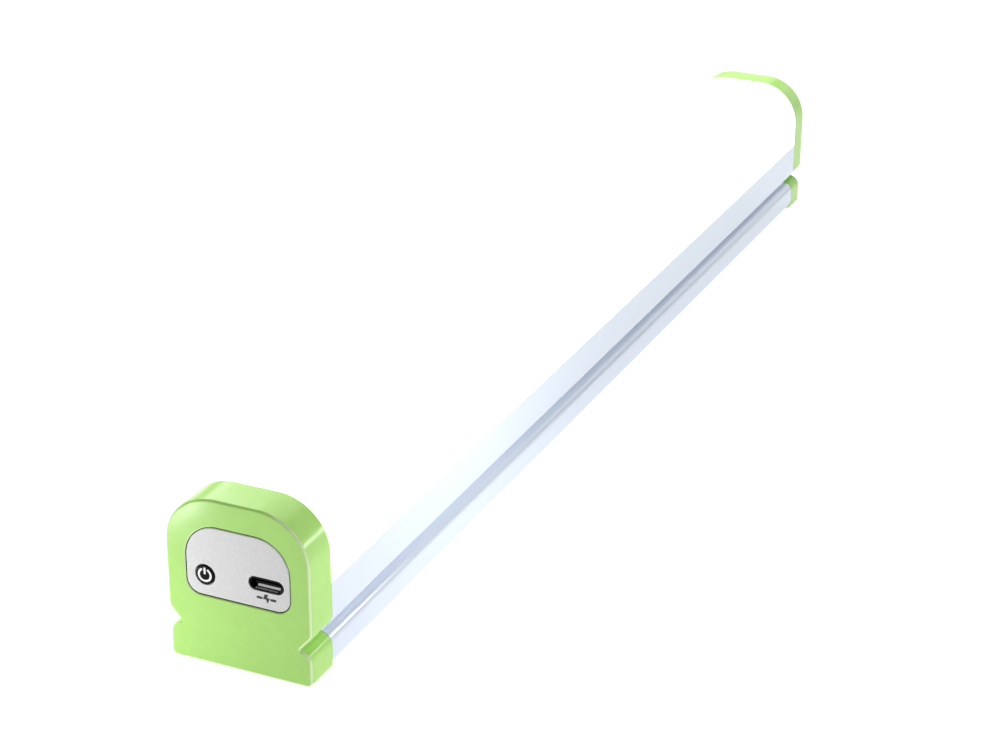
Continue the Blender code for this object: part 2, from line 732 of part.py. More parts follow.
def make_screw(name, head_centre, towards_head, length):
    """Make a pan-head screw with a cross recess. Its head's underside is centred on head_centre."""
    profile = [
        (0.0, HEAD_HEIGHT),
        (HEAD_RADIUS - HEAD_EDGE, HEAD_HEIGHT),
        (HEAD_RADIUS, HEAD_HEIGHT - HEAD_EDGE),
        (HEAD_RADIUS, 0.0),
        (SHANK_RADIUS, 0.0),
        (SHANK_RADIUS, -length + POINT_LENGTH),
        (POINT_RADIUS, -length),
        (0.0, -length),
    ]
    screw = turned(name, profile, head_centre, towards_head)
    bpy.context.view_layer.update()
    for arm_size in ((CROSS_ARM, CROSS_WIDTH), (CROSS_WIDTH, CROSS_ARM)):
        low = (-arm_size[0], -arm_size[1], HEAD_HEIGHT - CROSS_DEPTH)
        high = (arm_size[0], arm_size[1], HEAD_HEIGHT + CROSS_DEPTH)
        arm = box("screw_cross", low, high)
        arm.matrix_world = screw.matrix_world @ arm.matrix_world
        cut(screw, arm)
    return finish(screw, "steel")


def make_screws():
    head_underside = HEAD_SETBACK + HEAD_HEIGHT
    for side_name, side in (("left", -1), ("right", 1)):
        for cap_name, screw_y in (
            ("front", BODY_START + CAP_SCREW_INSET),
            ("rear", BODY_END - CAP_SCREW_INSET),
        ):
            centre = (side * CAP_SCREW_X, screw_y, head_underside)
            make_screw(f"{cap_name}_cap_screw_{side_name}", centre, (0.0, 0.0, -1.0), CAP_SCREW_LENGTH)
        board_centre = (side * POST_X, BOARD_BACK_Y + GAP, POST_Z)
        make_screw(f"board_screw_{side_name}", board_centre, (0.0, 1.0, 0.0), BOARD_SCREW_LENGTH)


# ---------------------------------------------------------------- light source


def make_led_carrier():
    low = (-LEDGE_OUTER_X + GAP, BODY_START + LED_END_MARGIN - CARRIER_OVERHANG, LEDGE_Z + GAP)
    end_y = BODY_END - LED_END_MARGIN + CARRIER_OVERHANG
    high = (LEDGE_OUTER_X - GAP, end_y, LEDGE_Z + GAP + CARRIER_THICKNESS)
    return finish(box("led_carrier", low, high), "aluminium")


def make_led_board():
    """Make the LED board, with two rows of LEDs joined to its top."""
    bottom_z = LEDGE_Z + CARRIER_THICKNESS + 2 * GAP
    top_z = bottom_z + LED_BOARD_THICKNESS
    start_y = BODY_START + LED_END_MARGIN
    end_y = BODY_END - LED_END_MARGIN
    low = (-LED_BOARD_HALF_WIDTH, start_y, bottom_z)
    board = box("led_board", low, (LED_BOARD_HALF_WIDTH, end_y, top_z))
    pitch = (end_y - start_y) / LED_COUNT
    for row_x in LED_ROWS_X:
        low = (row_x - LED_WIDTH / 2, start_y + (pitch - LED_LENGTH) / 2, top_z - GAP)
        high = (row_x + LED_WIDTH / 2, start_y + (pitch + LED_LENGTH) / 2, top_z + LED_HEIGHT)
        led_row = box("led_row", low, high)
        repeat = led_row.modifiers.new("repeat", "ARRAY")
        repeat.count = LED_COUNT
        repeat.use_relative_offset = False
        repeat.use_constant_offset = True
        repeat.constant_offset_displace = (0.0, pitch, 0.0)
        join(board, led_row)
    return finish(board, "white_board")


# ---------------------------------------------------------------- battery


def cell_start(index):
    """Return the Y of a cell's positive end, for cells centred along the lamp."""
    whole_length = (CELL_COUNT - 1) * CELL_PITCH + CELL_LENGTH
    return -whole_length / 2 + index * CELL_PITCH


def make_cell(number, start_y):
    profile = [
        (0.0, 0.0),
        (CELL_NUB_RADIUS, 0.0),
        (CELL_NUB_RADIUS, -CELL_NUB_HEIGHT),
        (CELL_RADIUS - CELL_EDGE, -CELL_NUB_HEIGHT),
        (CELL_RADIUS, -CELL_NUB_HEIGHT - CELL_EDGE),
        (CELL_RADIUS, -CELL_LENGTH + CELL_EDGE),
        (CELL_RADIUS - CELL_EDGE, -CELL_LENGTH),
        (0.0, -CELL_LENGTH),
    ]
    place = (0.0, start_y, CELL_CENTRE_Z)
    cell = turned(f"battery_cell_{number}", profile, place, (0.0, -1.0, 0.0), CELL_SIDES)
    return finish(cell, "cell_wrap")


def make_tab(name, start_y, side):
    """Make a nickel tab that lies across a cell's end and reaches out to the lead on one side."""
    root_x = -side * TAB_HALF_HEIGHT
    tip_x = side * TAB_REACH
    low = (min(root_x, tip_x), start_y, CELL_CENTRE_Z - TAB_HALF_HEIGHT)
    high = (max(root_x, tip_x), start_y + TAB_THICKNESS, CELL_CENTRE_Z + TAB_HALF_HEIGHT)
    return finish(box(name, low, high), "nickel")


def make_foam_pad(number, start_y):
    low = (-FOAM_HALF_WIDTH, start_y + FOAM_MARGIN, RAIL_WALL + GAP)
    high = (FOAM_HALF_WIDTH, start_y + CELL_LENGTH - FOAM_MARGIN, RAIL_WALL + GAP + FOAM_THICKNESS)
    return finish(box(f"foam_pad_{number}", low, high), "foam")


def make_spacer(number, start_y):
    end = Vector((0.0, start_y + SPACER_THICKNESS, CELL_CENTRE_Z))
    start = Vector((0.0, start_y, CELL_CENTRE_Z))
    return finish(rod(f"cell_spacer_{number}", start, end, SPACER_RADIUS, CELL_SIDES), "white_plastic")


def make_battery():
    for index in range(CELL_COUNT):
        start_y = cell_start(index)
        make_cell(index + 1, start_y)
        make_tab(f"positive_tab_{index + 1}", start_y - GAP - TAB_THICKNESS, 1)
        make_tab(f"negative_tab_{index + 1}", start_y + CELL_LENGTH + GAP, -1)
        make_foam_pad(index + 1, start_y)
        if index + 1 < CELL_COUNT:
            make_spacer(index + 1, start_y + CELL_LENGTH + 2 * GAP + TAB_THICKNESS)


# ---------------------------------------------------------------- wires


def make_battery_leads():
    """Make the leads from the battery connector to the furthest cell's tabs, along both sides."""
    _, _, plug_x, plug_z, _, _, plug_depth = BATTERY_CONNECTOR
    plug_back = BOARD_BACK_Y + plug_depth + 2 * GAP
    last_start = cell_start(CELL_COUNT - 1)
    for name, material_name, side, end_y in (
        ("battery_lead_positive", "red_wire", 1, last_start),
        ("battery_lead_negative", "black_wire", -1, last_start + CELL_LENGTH),
    ):
        wire_x = plug_x + side * WIRE_SPACING
        points = [
            (wire_x, plug_back, plug_z),
            (wire_x, plug_back + 0.002, plug_z - 0.0003),
            (side * 0.0095, plug_back + 0.009, 0.0165),
            (side * 0.0118, plug_back + 0.017, 0.0138),
            (side * LEAD_X, plug_back + 0.026, CELL_CENTRE_Z),
            (side * LEAD_X, end_y, CELL_CENTRE_Z),
        ]
        finish(wire(name, points, BATTERY_WIRE_RADIUS), material_name)


def make_led_leads():
    """Make the two short leads that hop from the LED connector to the LED board's front end."""
    _, _, plug_x, plug_z, _, _, plug_depth = LED_CONNECTOR
    plug_back = BOARD_BACK_Y + plug_depth + 2 * GAP
    solder_z = LEDGE_Z + CARRIER_THICKNESS + LED_BOARD_THICKNESS + 3 * GAP + BATTERY_WIRE_RADIUS
    for name, material_name, side in (
        ("led_lead_positive", "red_wire", 1),
        ("led_lead_negative", "black_wire", -1),
    ):
        wire_x = plug_x + side * WIRE_SPACING
        points = [
            (wire_x, plug_back, plug_z),
            (wire_x, plug_back + 0.0010, plug_z + 0.0006),
            (wire_x, plug_back + 0.0022, plug_z + 0.0008),
            (wire_x, plug_back + 0.0034, plug_z + 0.0005),
            (wire_x, plug_back + 0.0044, solder_z),
            (wire_x, plug_back + 0.0056, solder_z),
        ]
        finish(wire(name, points, LED_WIRE_RADIUS), material_name)


clear_scene()
PARTS = new_collection("led_light_tube")
CUTTERS = new_collection("cutters")
MATERIALS = {name: new_material(name) for name in COLOURS}
make_base_rail()
make_diffuser_cover()
make_front_cap()
make_rear_cap()
make_control_panel()
make_power_button()
make_switch()
make_usb_port()
make_control_board()
make_board_components()
make_screws()
make_led_carrier()
make_led_board()
make_battery()
make_battery_leads()
make_led_leads()
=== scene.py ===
"""Looks of a cordless LED tube lamp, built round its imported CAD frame.

The lamp lies along Y on its flat base, with the control panel at -Y. Units are metres and +Z is up. Each
part that shows gets a fine mesh in its CAD node's place, and the inner parts keep their CAD meshes with
materials of their own. Outlines are lists of corners (x, z, corner radius) that run anticlockwise as seen
from the front.
"""
import math

import bmesh
import bpy
from mathutils import Euler, Matrix, Quaternion, Vector


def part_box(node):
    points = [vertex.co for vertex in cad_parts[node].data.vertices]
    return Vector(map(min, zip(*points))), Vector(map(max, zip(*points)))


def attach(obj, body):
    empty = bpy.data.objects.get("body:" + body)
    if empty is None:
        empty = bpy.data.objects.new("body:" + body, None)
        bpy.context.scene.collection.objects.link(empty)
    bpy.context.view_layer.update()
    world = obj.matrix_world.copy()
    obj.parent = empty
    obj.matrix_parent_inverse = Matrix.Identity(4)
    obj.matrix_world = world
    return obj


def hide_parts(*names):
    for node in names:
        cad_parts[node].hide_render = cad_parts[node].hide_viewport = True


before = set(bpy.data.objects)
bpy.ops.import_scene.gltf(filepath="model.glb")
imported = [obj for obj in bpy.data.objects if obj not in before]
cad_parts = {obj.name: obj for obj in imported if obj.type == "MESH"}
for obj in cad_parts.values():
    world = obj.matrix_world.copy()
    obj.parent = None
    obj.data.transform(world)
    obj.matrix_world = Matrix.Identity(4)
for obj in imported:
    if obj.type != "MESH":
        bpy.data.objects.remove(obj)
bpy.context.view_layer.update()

# Places and sizes from the frame
CAP_LOW, CAP_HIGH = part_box("front_cap")
RAIL_LOW, RAIL_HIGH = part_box("base_rail")
PANEL_LOW, PANEL_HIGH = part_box("control_panel")
BUTTON_LOW, BUTTON_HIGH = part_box("power_button")
PORT_LOW, PORT_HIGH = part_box("usb_port_shell")
PORT_TONGUE_LOW, PORT_TONGUE_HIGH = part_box("usb_port_tongue")
BOARD_SCREW_LOW, BOARD_SCREW_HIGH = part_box("board_screw_right")
BOARD_FRONT_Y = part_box("control_board")[0].y
FRONT_Y = CAP_LOW.y
REAR_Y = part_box("rear_cap")[1].y
HALF_WIDTH = CAP_HIGH.x
HEIGHT = CAP_HIGH.z
SEAM_Z = RAIL_HIGH.z
BUTTON_CENTRE = (BUTTON_LOW + BUTTON_HIGH) / 2
PORT_CENTRE = (PORT_LOW + PORT_HIGH) / 2
BOARD_SCREW_CENTRE = (BOARD_SCREW_LOW + BOARD_SCREW_HIGH) / 2

# Gap between neighbouring parts in the CAD, and how far the rail and the cover reach into it at the caps
GAP = 0.0003
JOINT_FILL = 0.00024
BODY_START = RAIL_LOW.y - JOINT_FILL
BODY_END = RAIL_HIGH.y + JOINT_FILL

# Outer outline and clip groove
TOP_RADIUS = 0.0131
FOOT_HALF_WIDTH = 0.0188
FOOT_TOP_Z = 0.0093
FOOT_RADIUS = 0.0031
GROOVE_HALF_WIDTH = 0.0155
GROOVE_FILLET = 0.0003
LIP_Z = 0.0133
LIP_RADIUS = 0.0025
CAP_FOOT_CORNER = 0.0013
RAIL_FOOT_CORNER = 0.003
SEAM_RADIUS = 0.0002

# Walls and the snap joint between the cover and the rail
WALL = 0.0016
CAP_WALL = 0.002
FRONT_FACE = 0.0028
REAR_FACE = 0.002
RAIL_INNER_X = HALF_WIDTH - WALL
RAIL_LIP_REACH = 0.0005
RAIL_LIP_X = RAIL_INNER_X - RAIL_LIP_REACH
RAIL_LIP_HEIGHT = 0.0011
TONGUE_OUTER_X = RAIL_LIP_X - GAP
TONGUE_THICKNESS = 0.0008
TONGUE_INNER_X = TONGUE_OUTER_X - TONGUE_THICKNESS
TONGUE_HOOK = 0.0005
LEDGE_Z = 0.0217
LEDGE_INNER_X = 0.012
LEDGE_OUTER_X = TONGUE_INNER_X - GAP
CHANNEL_Z = 0.0202
LEDGE_BOTTOM_Z = 0.0187

# Caps
CAP_EDGE = 0.0007
CAP_EDGE_STEPS = 5
CAP_BACK_EDGE = 0.00015
SPIGOT_HALF_WIDTH = 0.010
SPIGOT_TOP_Z = 0.007
ARCH_WALL = 0.0012
ARCH_REACH = 0.004
ARCH_BOTTOM_Z = 0.0256
POST_RADIUS = 0.0021
JOIN_OVERLAP = 0.0007
MOUTH_CHAMFER = 0.0002

# Panel and button
PANEL_BOTTOM_RADIUS = 0.0037
PANEL_TOP_RADIUS = 0.0088
PANEL_EDGE = 0.0004
PANEL_EDGE_STEPS = 3
PANEL_MARGIN = 0.0001
RECESS_MARGIN = 0.00012
# Black ring in the panel gap: painted shade for the shadow gap
GAP_SHADE_DEPTH = 0.0002
GAP_SHADE_CLEARANCE = 0.00002
BUTTON_RADIUS = 0.0025
BUTTON_EDGE = 0.0003
BUTTON_EDGE_STEPS = 5
BUTTON_FLANGE_THICKNESS = 0.0008
PRINT_THICKNESS = 0.00004
POWER_RING_RADIUS = 0.00158
POWER_LINE = 0.00054
POWER_GAP_ANGLE = math.radians(33)
POWER_BAR_LOW = 0.0004
POWER_BAR_HIGH = 0.0017

# Port. The slot's ends are just short of half circles, so that its corners stay apart
PORT_WALL = 0.0003
SLOT_ROUNDNESS = 0.999
BLADE_HALF_WIDTH = 0.0033
BLADE_HALF_HEIGHT = 0.00035
BLADE_CORNER = 0.0002
BLADE_EDGE = 0.0001
BLADE_ROOT_DEPTH = 0.0015
PIN_COUNT = 12
PIN_PITCH = 0.0005
CONTACT_HALF_WIDTH = 0.00013
CONTACT_THICKNESS = 0.00002
CONTACT_START = 0.0005
RIB_HALF_WIDTH = 0.00012
RIB_HEIGHT = 0.00022
RIB_LENGTH = 0.0007
LINER_HALF_WIDTH = 0.0029
LINER_HEIGHT = 0.00036
LINER_DEPTH = 0.0014
LINER_THICKNESS = 0.0004
PORT_TONGUE_ROOT_Y = PORT_TONGUE_HIGH.y - BLADE_ROOT_DEPTH
PORT_FLOOR_Z = PORT_LOW.z + PORT_WALL

# Charging mark
CHARGE_MARK_DROP = 0.0035
CHARGE_DASH_NEAR = 0.0013
CHARGE_DASH_FAR = 0.0023
CHARGE_LINE = 0.0006
BOLT_HALF_WIDTH = 0.0009
BOLT_HALF_HEIGHT = 0.00112

# Screws
SHANK_RADIUS = 0.001
SCREW_HOLE_RADIUS = SHANK_RADIUS + GAP
HEAD_RADIUS = 0.0019
HEAD_HEIGHT = 0.0007
COUNTERBORE_RADIUS = 0.0023
COUNTERBORE_DEPTH = 0.001
HEAD_EDGE = 0.0003
HEAD_EDGE_STEPS = 4
SCREW_SIDES = 48
POINT_LENGTH = 0.0008
POINT_RADIUS = 0.0003
CROSS_HALF_WIDTH = 0.0002
CROSS_HALF_LENGTH = 0.0011
CROSS_DEPTH = 0.0004
CROSS_TAPER = 0.6

# Mesh fineness
ARC_STEP = math.radians(5)
ROUND_SIDES = 64
MERGE_DISTANCE = 0.000002
SHARP_ANGLE = math.radians(40)
OVERSHOOT = 0.001

# Camera: a 90.5 mm lens, a little over half a metre from the lamp and to the right of its front
CAMERA_PLACE = (0.26567, -0.61274, 0.31000)
CAMERA_LENS = 90.5
CAMERA_SENSOR = 36.0
CAMERA_NEAR = 0.01
CAMERA_TILT_DOWN = math.radians(24.69)
CAMERA_HEADING = math.radians(24.55)
CAMERA_ROLL = math.radians(0.27)

# Procedural finishes: the part of the noise that is used, and how colour and gloss drift
NOISE_LOW = 0.3
NOISE_HIGH = 0.7
GRAIN_DETAIL = 3.0
COLOUR_PATCH = 12
GLOSS_DRIFT = 0.12

# Painted edge highlights: (size of the normal's part, strength) along the lamp and across it
EDGE_TILT_STOPS = ((0.12, 0.0), (0.35, 1.0), (0.85, 1.0), (0.985, 0.0))
SIDE_TILT_STOPS = ((0.08, 0.0), (0.3, 1.0))

# Light: the sky and the floor as levels of white, and the softboxes, each as
# (name, place, target, width, height, power in watts, spread in degrees)
SKY_LIGHT = 0.11
FLOOR_GLOW = 0.96
FLOOR_SIZE = 6.0
SOFTBOXES = (
    ("back_left", (-0.42, 0.85, 0.45), (0.0, 0.0, 0.03), 0.7, 0.6, 0.9, 180),
    ("back_high", (-0.09, 0.5, 0.85), (0.0, 0.0, 0.03), 0.65, 0.6, 2.0, 180),
    ("back_right", (0.27, 0.82, 0.25), (0.0, 0.1, 0.01), 0.4, 0.4, 0.7, 180),
    ("top_left", (-0.78, 0.4, 0.78), (0.0, 0.0, 0.02), 1.0, 0.9, 8.0, 180),
    ("top_glint", (-0.055, -0.112, 0.082), (-0.012, -0.17, HEIGHT), 0.026, 0.02, 0.0012, 180),
    ("cap_left", (-0.13, -0.1, 0.16), (0.0, -0.17, HEIGHT), 0.1, 0.1, 0.18, 180),
    ("front_left", (-0.060, -0.23, 0.005), (-0.012, FRONT_Y, 0.003), 0.03, 0.02, 0.039, 180),
    ("front_right", (0.3, -0.17, 0.05), (0.0, -0.1, 0.02), 0.1, 0.1, 0.1, 180),
    ("kicker", (0.092, -0.087, 0.048), (0.018, -0.13, 0.036), 0.05, 0.012, 0.0235, 180),
    ("rail_right", (0.25, -0.08, 0.26), (0.018, -0.07, 0.01), 0.25, 0.1, 0.031, 60),
    ("rail_front", (0.22, -0.08, 0.2), (0.018, -0.11, 0.01), 0.05, 0.05, 0.006, 50),
    ("rear_left", (-0.12, 0.2, 0.2), (0.0, REAR_Y, HEIGHT), 0.1, 0.1, 0.2, 180),
    ("rear_top", (0.06, 0.2, 0.25), (0.01, REAR_Y, 0.03), 0.08, 0.08, 0.13, 180),
)


# ---------------------------------------------------------------- outlines


def rounded(corners):
    """Return the points of a closed outline, with each corner (x, z, radius) drawn as an arc."""
    points = []
    for index, (x, z, radius) in enumerate(corners):
        corner = Vector((x, z))
        if radius == 0.0:
            points.append(corner)
            continue
        to_previous = (Vector(corners[index - 1][:2]) - corner).normalized()
        to_next = (Vector(corners[(index + 1) % len(corners)][:2]) - corner).normalized()
        half_angle = to_previous.angle(to_next) / 2
        centre = corner + (to_previous + to_next).normalized() * radius / math.sin(half_angle)
        tangent = radius / math.tan(half_angle)
        first = (corner + to_previous * tangent - centre).normalized()
        last = (corner + to_next * tangent - centre).normalized()
        steps = max(1, round(first.angle(last) / ARC_STEP))
        points += [centre + first.slerp(last, step / steps) * radius for step in range(steps + 1)]
    return points


def inset(corners, distance):
    """Return the corners of an anticlockwise outline moved inwards by a distance."""
    moved = []
    for index, (x, z, radius) in enumerate(corners):
        corner = Vector((x, z))
        incoming = (corner - Vector(corners[index - 1][:2])).normalized()
        outgoing = (Vector(corners[(index + 1) % len(corners)][:2]) - corner).normalized()
        normals = Vector((-incoming.y, incoming.x)), Vector((-outgoing.y, outgoing.x))
        place = corner + (normals[0] + normals[1]) * distance / (1 + normals[0].dot(normals[1]))
        is_convex = incoming.cross(outgoing) > 0
        new_radius = max(0.0, radius - distance) if is_convex else radius + distance
        moved.append((place.x, place.y, new_radius))
    return moved


def mirrored(right_half):
    """Return a whole outline from the corners of its right half, which run upwards."""
    return right_half + [(-x, z, radius) for x, z, radius in reversed(right_half)]


def lamp_outline(foot_corner):
    """Return the outer corners shared by the caps, the rail and the cover."""
    return mirrored([
        (FOOT_HALF_WIDTH, 0.0, foot_corner),
        (FOOT_HALF_WIDTH, FOOT_TOP_Z, FOOT_RADIUS),
        (GROOVE_HALF_WIDTH, FOOT_TOP_Z, GROOVE_FILLET),
        (HALF_WIDTH, LIP_Z, LIP_RADIUS),
        (HALF_WIDTH, HEIGHT, TOP_RADIUS),
    ])


def panel_outline():
    return mirrored([
        (PANEL_HIGH.x, PANEL_LOW.z, PANEL_BOTTOM_RADIUS),
        (PANEL_HIGH.x, PANEL_HIGH.z, PANEL_TOP_RADIUS),
    ])


def port_rectangle(half_width, half_height, radius):
    """Return the corners of a rectangle about the middle of the port."""
    places = [(-half_width, -half_height), (half_width, -half_height),
              (half_width, half_height), (-half_width, half_height)]
    return [(PORT_CENTRE.x + x, PORT_CENTRE.z + z, radius) for x, z in places]


def slot_outline(grow=0.0):
    """Return the corners of the port's round-ended slot, grown outwards by a distance."""
    half_width = (PORT_HIGH.x - PORT_LOW.x) / 2 + grow
    half_height = (PORT_HIGH.z - PORT_LOW.z) / 2 + grow
    return port_rectangle(half_width, half_height, half_height * SLOT_ROUNDNESS)


def circle(centre, radius):
    """Return the points of a circle in the XZ plane about a centre."""
    turns = [2 * math.pi * step / ROUND_SIDES for step in range(ROUND_SIDES)]
    return [
        Vector((centre.x + radius * math.cos(turn), centre.z + radius * math.sin(turn)))
        for turn in turns
    ]


def stroke(points, width):
    """Return the outline of a line drawn through points with round ends."""
    half = width / 2
    left, right = [], []
    for index, point in enumerate(points):
        before = points[max(index - 1, 0)]
        after = points[min(index + 1, len(points) - 1)]
        along = (after - before).normalized()
        side = Vector((-along.y, along.x)) * half
        left.append(point + side)
        right.append(point - side)
    outline = list(right)
    for end, along in ((points[-1], points[-1] - points[-2]), (points[0], points[0] - points[1])):
        start_turn = math.atan2(along.y, along.x) - math.pi / 2
        steps = round(math.pi / (4 * ARC_STEP))
        turns = [start_turn + math.pi * step / steps for step in range(1, steps)]
        outline += [end + Vector((math.cos(turn), math.sin(turn))) * half for turn in turns]
        if end is points[-1]:
            outline += reversed(left)
    return outline


# ---------------------------------------------------------------- meshes


def mesh_object(name, work):
    """Turn bmesh work into an object of the scene, with its faces pointing out."""
    bmesh.ops.recalc_face_normals(work, faces=work.faces)
    mesh = bpy.data.meshes.new(name)
    work.to_mesh(mesh)
    work.free()
    item = bpy.data.objects.new(name, mesh)
    bpy.context.scene.collection.objects.link(item)
    return item


def add_loft(work, sections):
    """Add a closed skin through outlines at several Y. Each section is (y, points)."""
    rings = [[work.verts.new((point.x, y, point.y)) for point in points] for y, points in sections]
    for ring, following in zip(rings, rings[1:]):
        for index in range(len(ring)):
            other = (index + 1) % len(ring)
            work.faces.new((ring[index], ring[other], following[other], following[index]))
    work.faces.new(rings[0])
    work.faces.new(rings[-1])


def loft(name, sections):
    work = bmesh.new()
    add_loft(work, sections)
    return mesh_object(name, work)


def prism(name, corners, y_front, y_back):
    points = rounded(corners)
    return loft(name, [(y_front, points), (y_back, points)])


def add_box(work, low, high):
    size = Vector(high) - Vector(low)
    centre = (Vector(high) + Vector(low)) / 2
    bmesh.ops.create_cube(work, size=1.0, matrix=Matrix.Translation(centre) @ Matrix.Diagonal((*size, 1.0)))


def box(name, low, high):
    work = bmesh.new()
    add_box(work, low, high)
    return mesh_object(name, work)


def turned(name, profile, place, towards, sides=ROUND_SIDES):
    """Turn a profile of (radius, height) points about an axis that points towards a direction."""
    work = bmesh.new()
    verts = [work.verts.new((radius, 0.0, height)) for radius, height in profile]
    edges = [work.edges.new(pair) for pair in zip(verts, verts[1:])]
    bmesh.ops.spin(
        work, geom=verts + edges, cent=(0.0, 0.0, 0.0), axis=(0.0, 0.0, 1.0),
        angle=2 * math.pi, steps=sides, use_merge=True,
    )
    bmesh.ops.remove_doubles(work, verts=work.verts, dist=MERGE_DISTANCE)
    turn = Vector((0.0, 0.0, 1.0)).rotation_difference(Vector(towards)).to_matrix().to_4x4()
    bmesh.ops.transform(work, matrix=Matrix.Translation(place) @ turn, verts=work.verts)
    return mesh_object(name, work)


def rod(name, start, end, radius):
    along = Vector(end) - Vector(start)
    profile = [(0.0, along.length), (radius, along.length), (radius, 0.0), (0.0, 0.0)]
    return turned(name, profile, start, along)


def combine(item, other, operation):
    """Cut or join a shape into an item for good, and remove the shape."""
    modifier = item.modifiers.new(other.name, "BOOLEAN")
    modifier.operation = operation
    modifier.solver = "EXACT"
    modifier.object = other
    evaluated = item.evaluated_get(bpy.context.evaluated_depsgraph_get())
    mesh = bpy.data.meshes.new_from_object(evaluated)
    item.modifiers.clear()
    item.data = mesh
    bpy.data.objects.remove(other, do_unlink=True)


def cut(item, cutter):
    combine(item, cutter, "DIFFERENCE")


def join(item, addition):
    combine(item, addition, "UNION")


def edge_round(radius, steps):
    """Return (depth from the end, inset) pairs that round an end edge, from the end face inwards."""
    turns = [math.pi / 2 * step / steps for step in range(steps + 1)]
    return [(radius * (1 - math.cos(turn)), radius * (1 - math.sin(turn))) for turn in turns]


def place_piece(item, material, replaced=(), body="housing"):
    """Give a piece its finish and its smooth shading, and tie it to its body and CAD nodes."""
    item.data.materials.clear()
    item.data.materials.append(material)
    item.data.shade_smooth()
    item.data.set_sharp_from_angle(angle=SHARP_ANGLE)
    normals = item.modifiers.new("even_normals", "WEIGHTED_NORMAL")
    normals.keep_sharp = True
    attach(item, body)
    if replaced:
        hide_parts(*replaced)


# ---------------------------------------------------------------- material nodes


def new_material(name, roughness, metallic=0.0, **settings):
    """Make a Principled material. Settings are socket names with _ for a space."""
    material = bpy.data.materials.new(name)
    material.use_nodes = True
    shader = material.node_tree.nodes["Principled BSDF"]
    shader.inputs["Roughness"].default_value = roughness
    shader.inputs["Metallic"].default_value = metallic
    for setting, value in settings.items():
        shader.inputs[setting.replace("_", " ")].default_value = value
    return material


def link(material, output, node, socket):
    material.node_tree.links.new(output, node.inputs[socket])


def shader_of(material):
    return material.node_tree.nodes["Principled BSDF"]


def noise(material, size, detail=2.0, stretch=(1.0, 1.0, 1.0)):
    """Return noise from 0 to 1 whose features are about a size across, stretched along the axes."""
    nodes = material.node_tree.nodes
    place = nodes.new("ShaderNodeTexCoord")
    mapping = nodes.new("ShaderNodeMapping")
    mapping.inputs["Scale"].default_value = [1 / (size * factor) for factor in stretch]
    texture = nodes.new("ShaderNodeTexNoise")
    texture.inputs["Scale"].default_value = 1.0
    texture.inputs["Detail"].default_value = detail
    link(material, place.outputs["Object"], mapping, "Vector")
    link(material, mapping.outputs["Vector"], texture, "Vector")
    return texture.outputs["Fac"]


def colour_between(material, factor, first, second, low=NOISE_LOW, high=NOISE_HIGH):
    """Colour the surface from the first to the second colour as a factor runs from low to high."""
    node = material.node_tree.nodes.new("ShaderNodeValToRGB")
    start, end = node.color_ramp.elements
    start.position, start.color = low, (*first, 1.0)
    end.position, end.color = high, (*second, 1.0)
    link(material, factor, node, "Fac")
    link(material, node.outputs["Color"], shader_of(material), "Base Color")


def roughness_between(material, factor, first, second):
    node = material.node_tree.nodes.new("ShaderNodeMapRange")
    node.inputs["From Min"].default_value = NOISE_LOW
    node.inputs["From Max"].default_value = NOISE_HIGH
    node.inputs["To Min"].default_value = first
    node.inputs["To Max"].default_value = second
    link(material, factor, node, "Value")
    link(material, node.outputs["Result"], shader_of(material), "Roughness")


def bump(material, height, depth):
    """Raise the surface by a depth in metres where a height runs from 0 to 1."""
    relief = material.node_tree.nodes.new("ShaderNodeBump")
    relief.inputs["Strength"].default_value = 1.0
    relief.inputs["Distance"].default_value = depth
    link(material, height, relief, "Height")
    link(material, relief.outputs["Normal"], shader_of(material), "Normal")


def ramp(material, factor, *stops):
    """Return a grey level that runs through (position, level) stops as a factor runs from 0 to 1."""
    node = material.node_tree.nodes.new("ShaderNodeValToRGB")
    elements = node.color_ramp.elements
    while len(elements) < len(stops):
        elements.new(1.0)
    for element, (position, level) in zip(elements, stops):
        element.position = position
        element.color = (level, level, level, 1.0)
    link(material, factor, node, "Fac")
    return node.outputs["Color"]


def size_of(material, value):
    """Return a value without its sign."""
    node = material.node_tree.nodes.new("ShaderNodeMath")
    node.operation = "ABSOLUTE"
    link(material, value, node, 0)
    return node.outputs["Value"]


def paint_edge_highlights(material, highlight_colour, on_left):
    """Paint a highlight into the colour of the rounded edges between an end face and the right side, and the
    left side if asked.
    """
    nodes = material.node_tree.nodes
    place = nodes.new("ShaderNodeTexCoord")
    parts = nodes.new("ShaderNodeSeparateXYZ")
    link(material, place.outputs["Normal"], parts, "Vector")
    end_tilt = size_of(material, parts.outputs["Y"])
    side_tilt = size_of(material, parts.outputs["X"]) if on_left else parts.outputs["X"]
    masks = [ramp(material, end_tilt, *EDGE_TILT_STOPS), ramp(material, side_tilt, *SIDE_TILT_STOPS)]
    # Painted highlight: the colour is lightened where the normal leans towards an end and a side, not where
    # the surface is worn
    both = nodes.new("ShaderNodeMath")
    both.operation = "MULTIPLY"
    mix = nodes.new("ShaderNodeMixRGB")
    mix.inputs["Color2"].default_value = (*highlight_colour, 1.0)
    moulded = shader_of(material).inputs["Base Color"].links[0].from_socket
    link(material, masks[0], both, 0)
    link(material, masks[1], both, 1)
    link(material, both.outputs["Value"], mix, "Fac")
    link(material, moulded, mix, "Color1")
    link(material, mix.outputs["Color"], shader_of(material), "Base Color")


def grained(name, first, second, roughness, grain, depth,
            metallic=0.0, stretch=(1.0, 1.0, 1.0), **settings):
    """Make a material with a colour that drifts a little, fine grain and uneven gloss."""
    material = new_material(name, roughness, metallic, **settings)
    fine = noise(material, grain, GRAIN_DETAIL, stretch)
    patches = noise(material, grain * COLOUR_PATCH, GRAIN_DETAIL, stretch)
    colour_between(material, patches, first, second)
    roughness_between(material, fine, roughness * (1 - GLOSS_DRIFT), roughness * (1 + GLOSS_DRIFT))
    bump(material, fine, depth)
    return material


# ---------------------------------------------------------------- materials


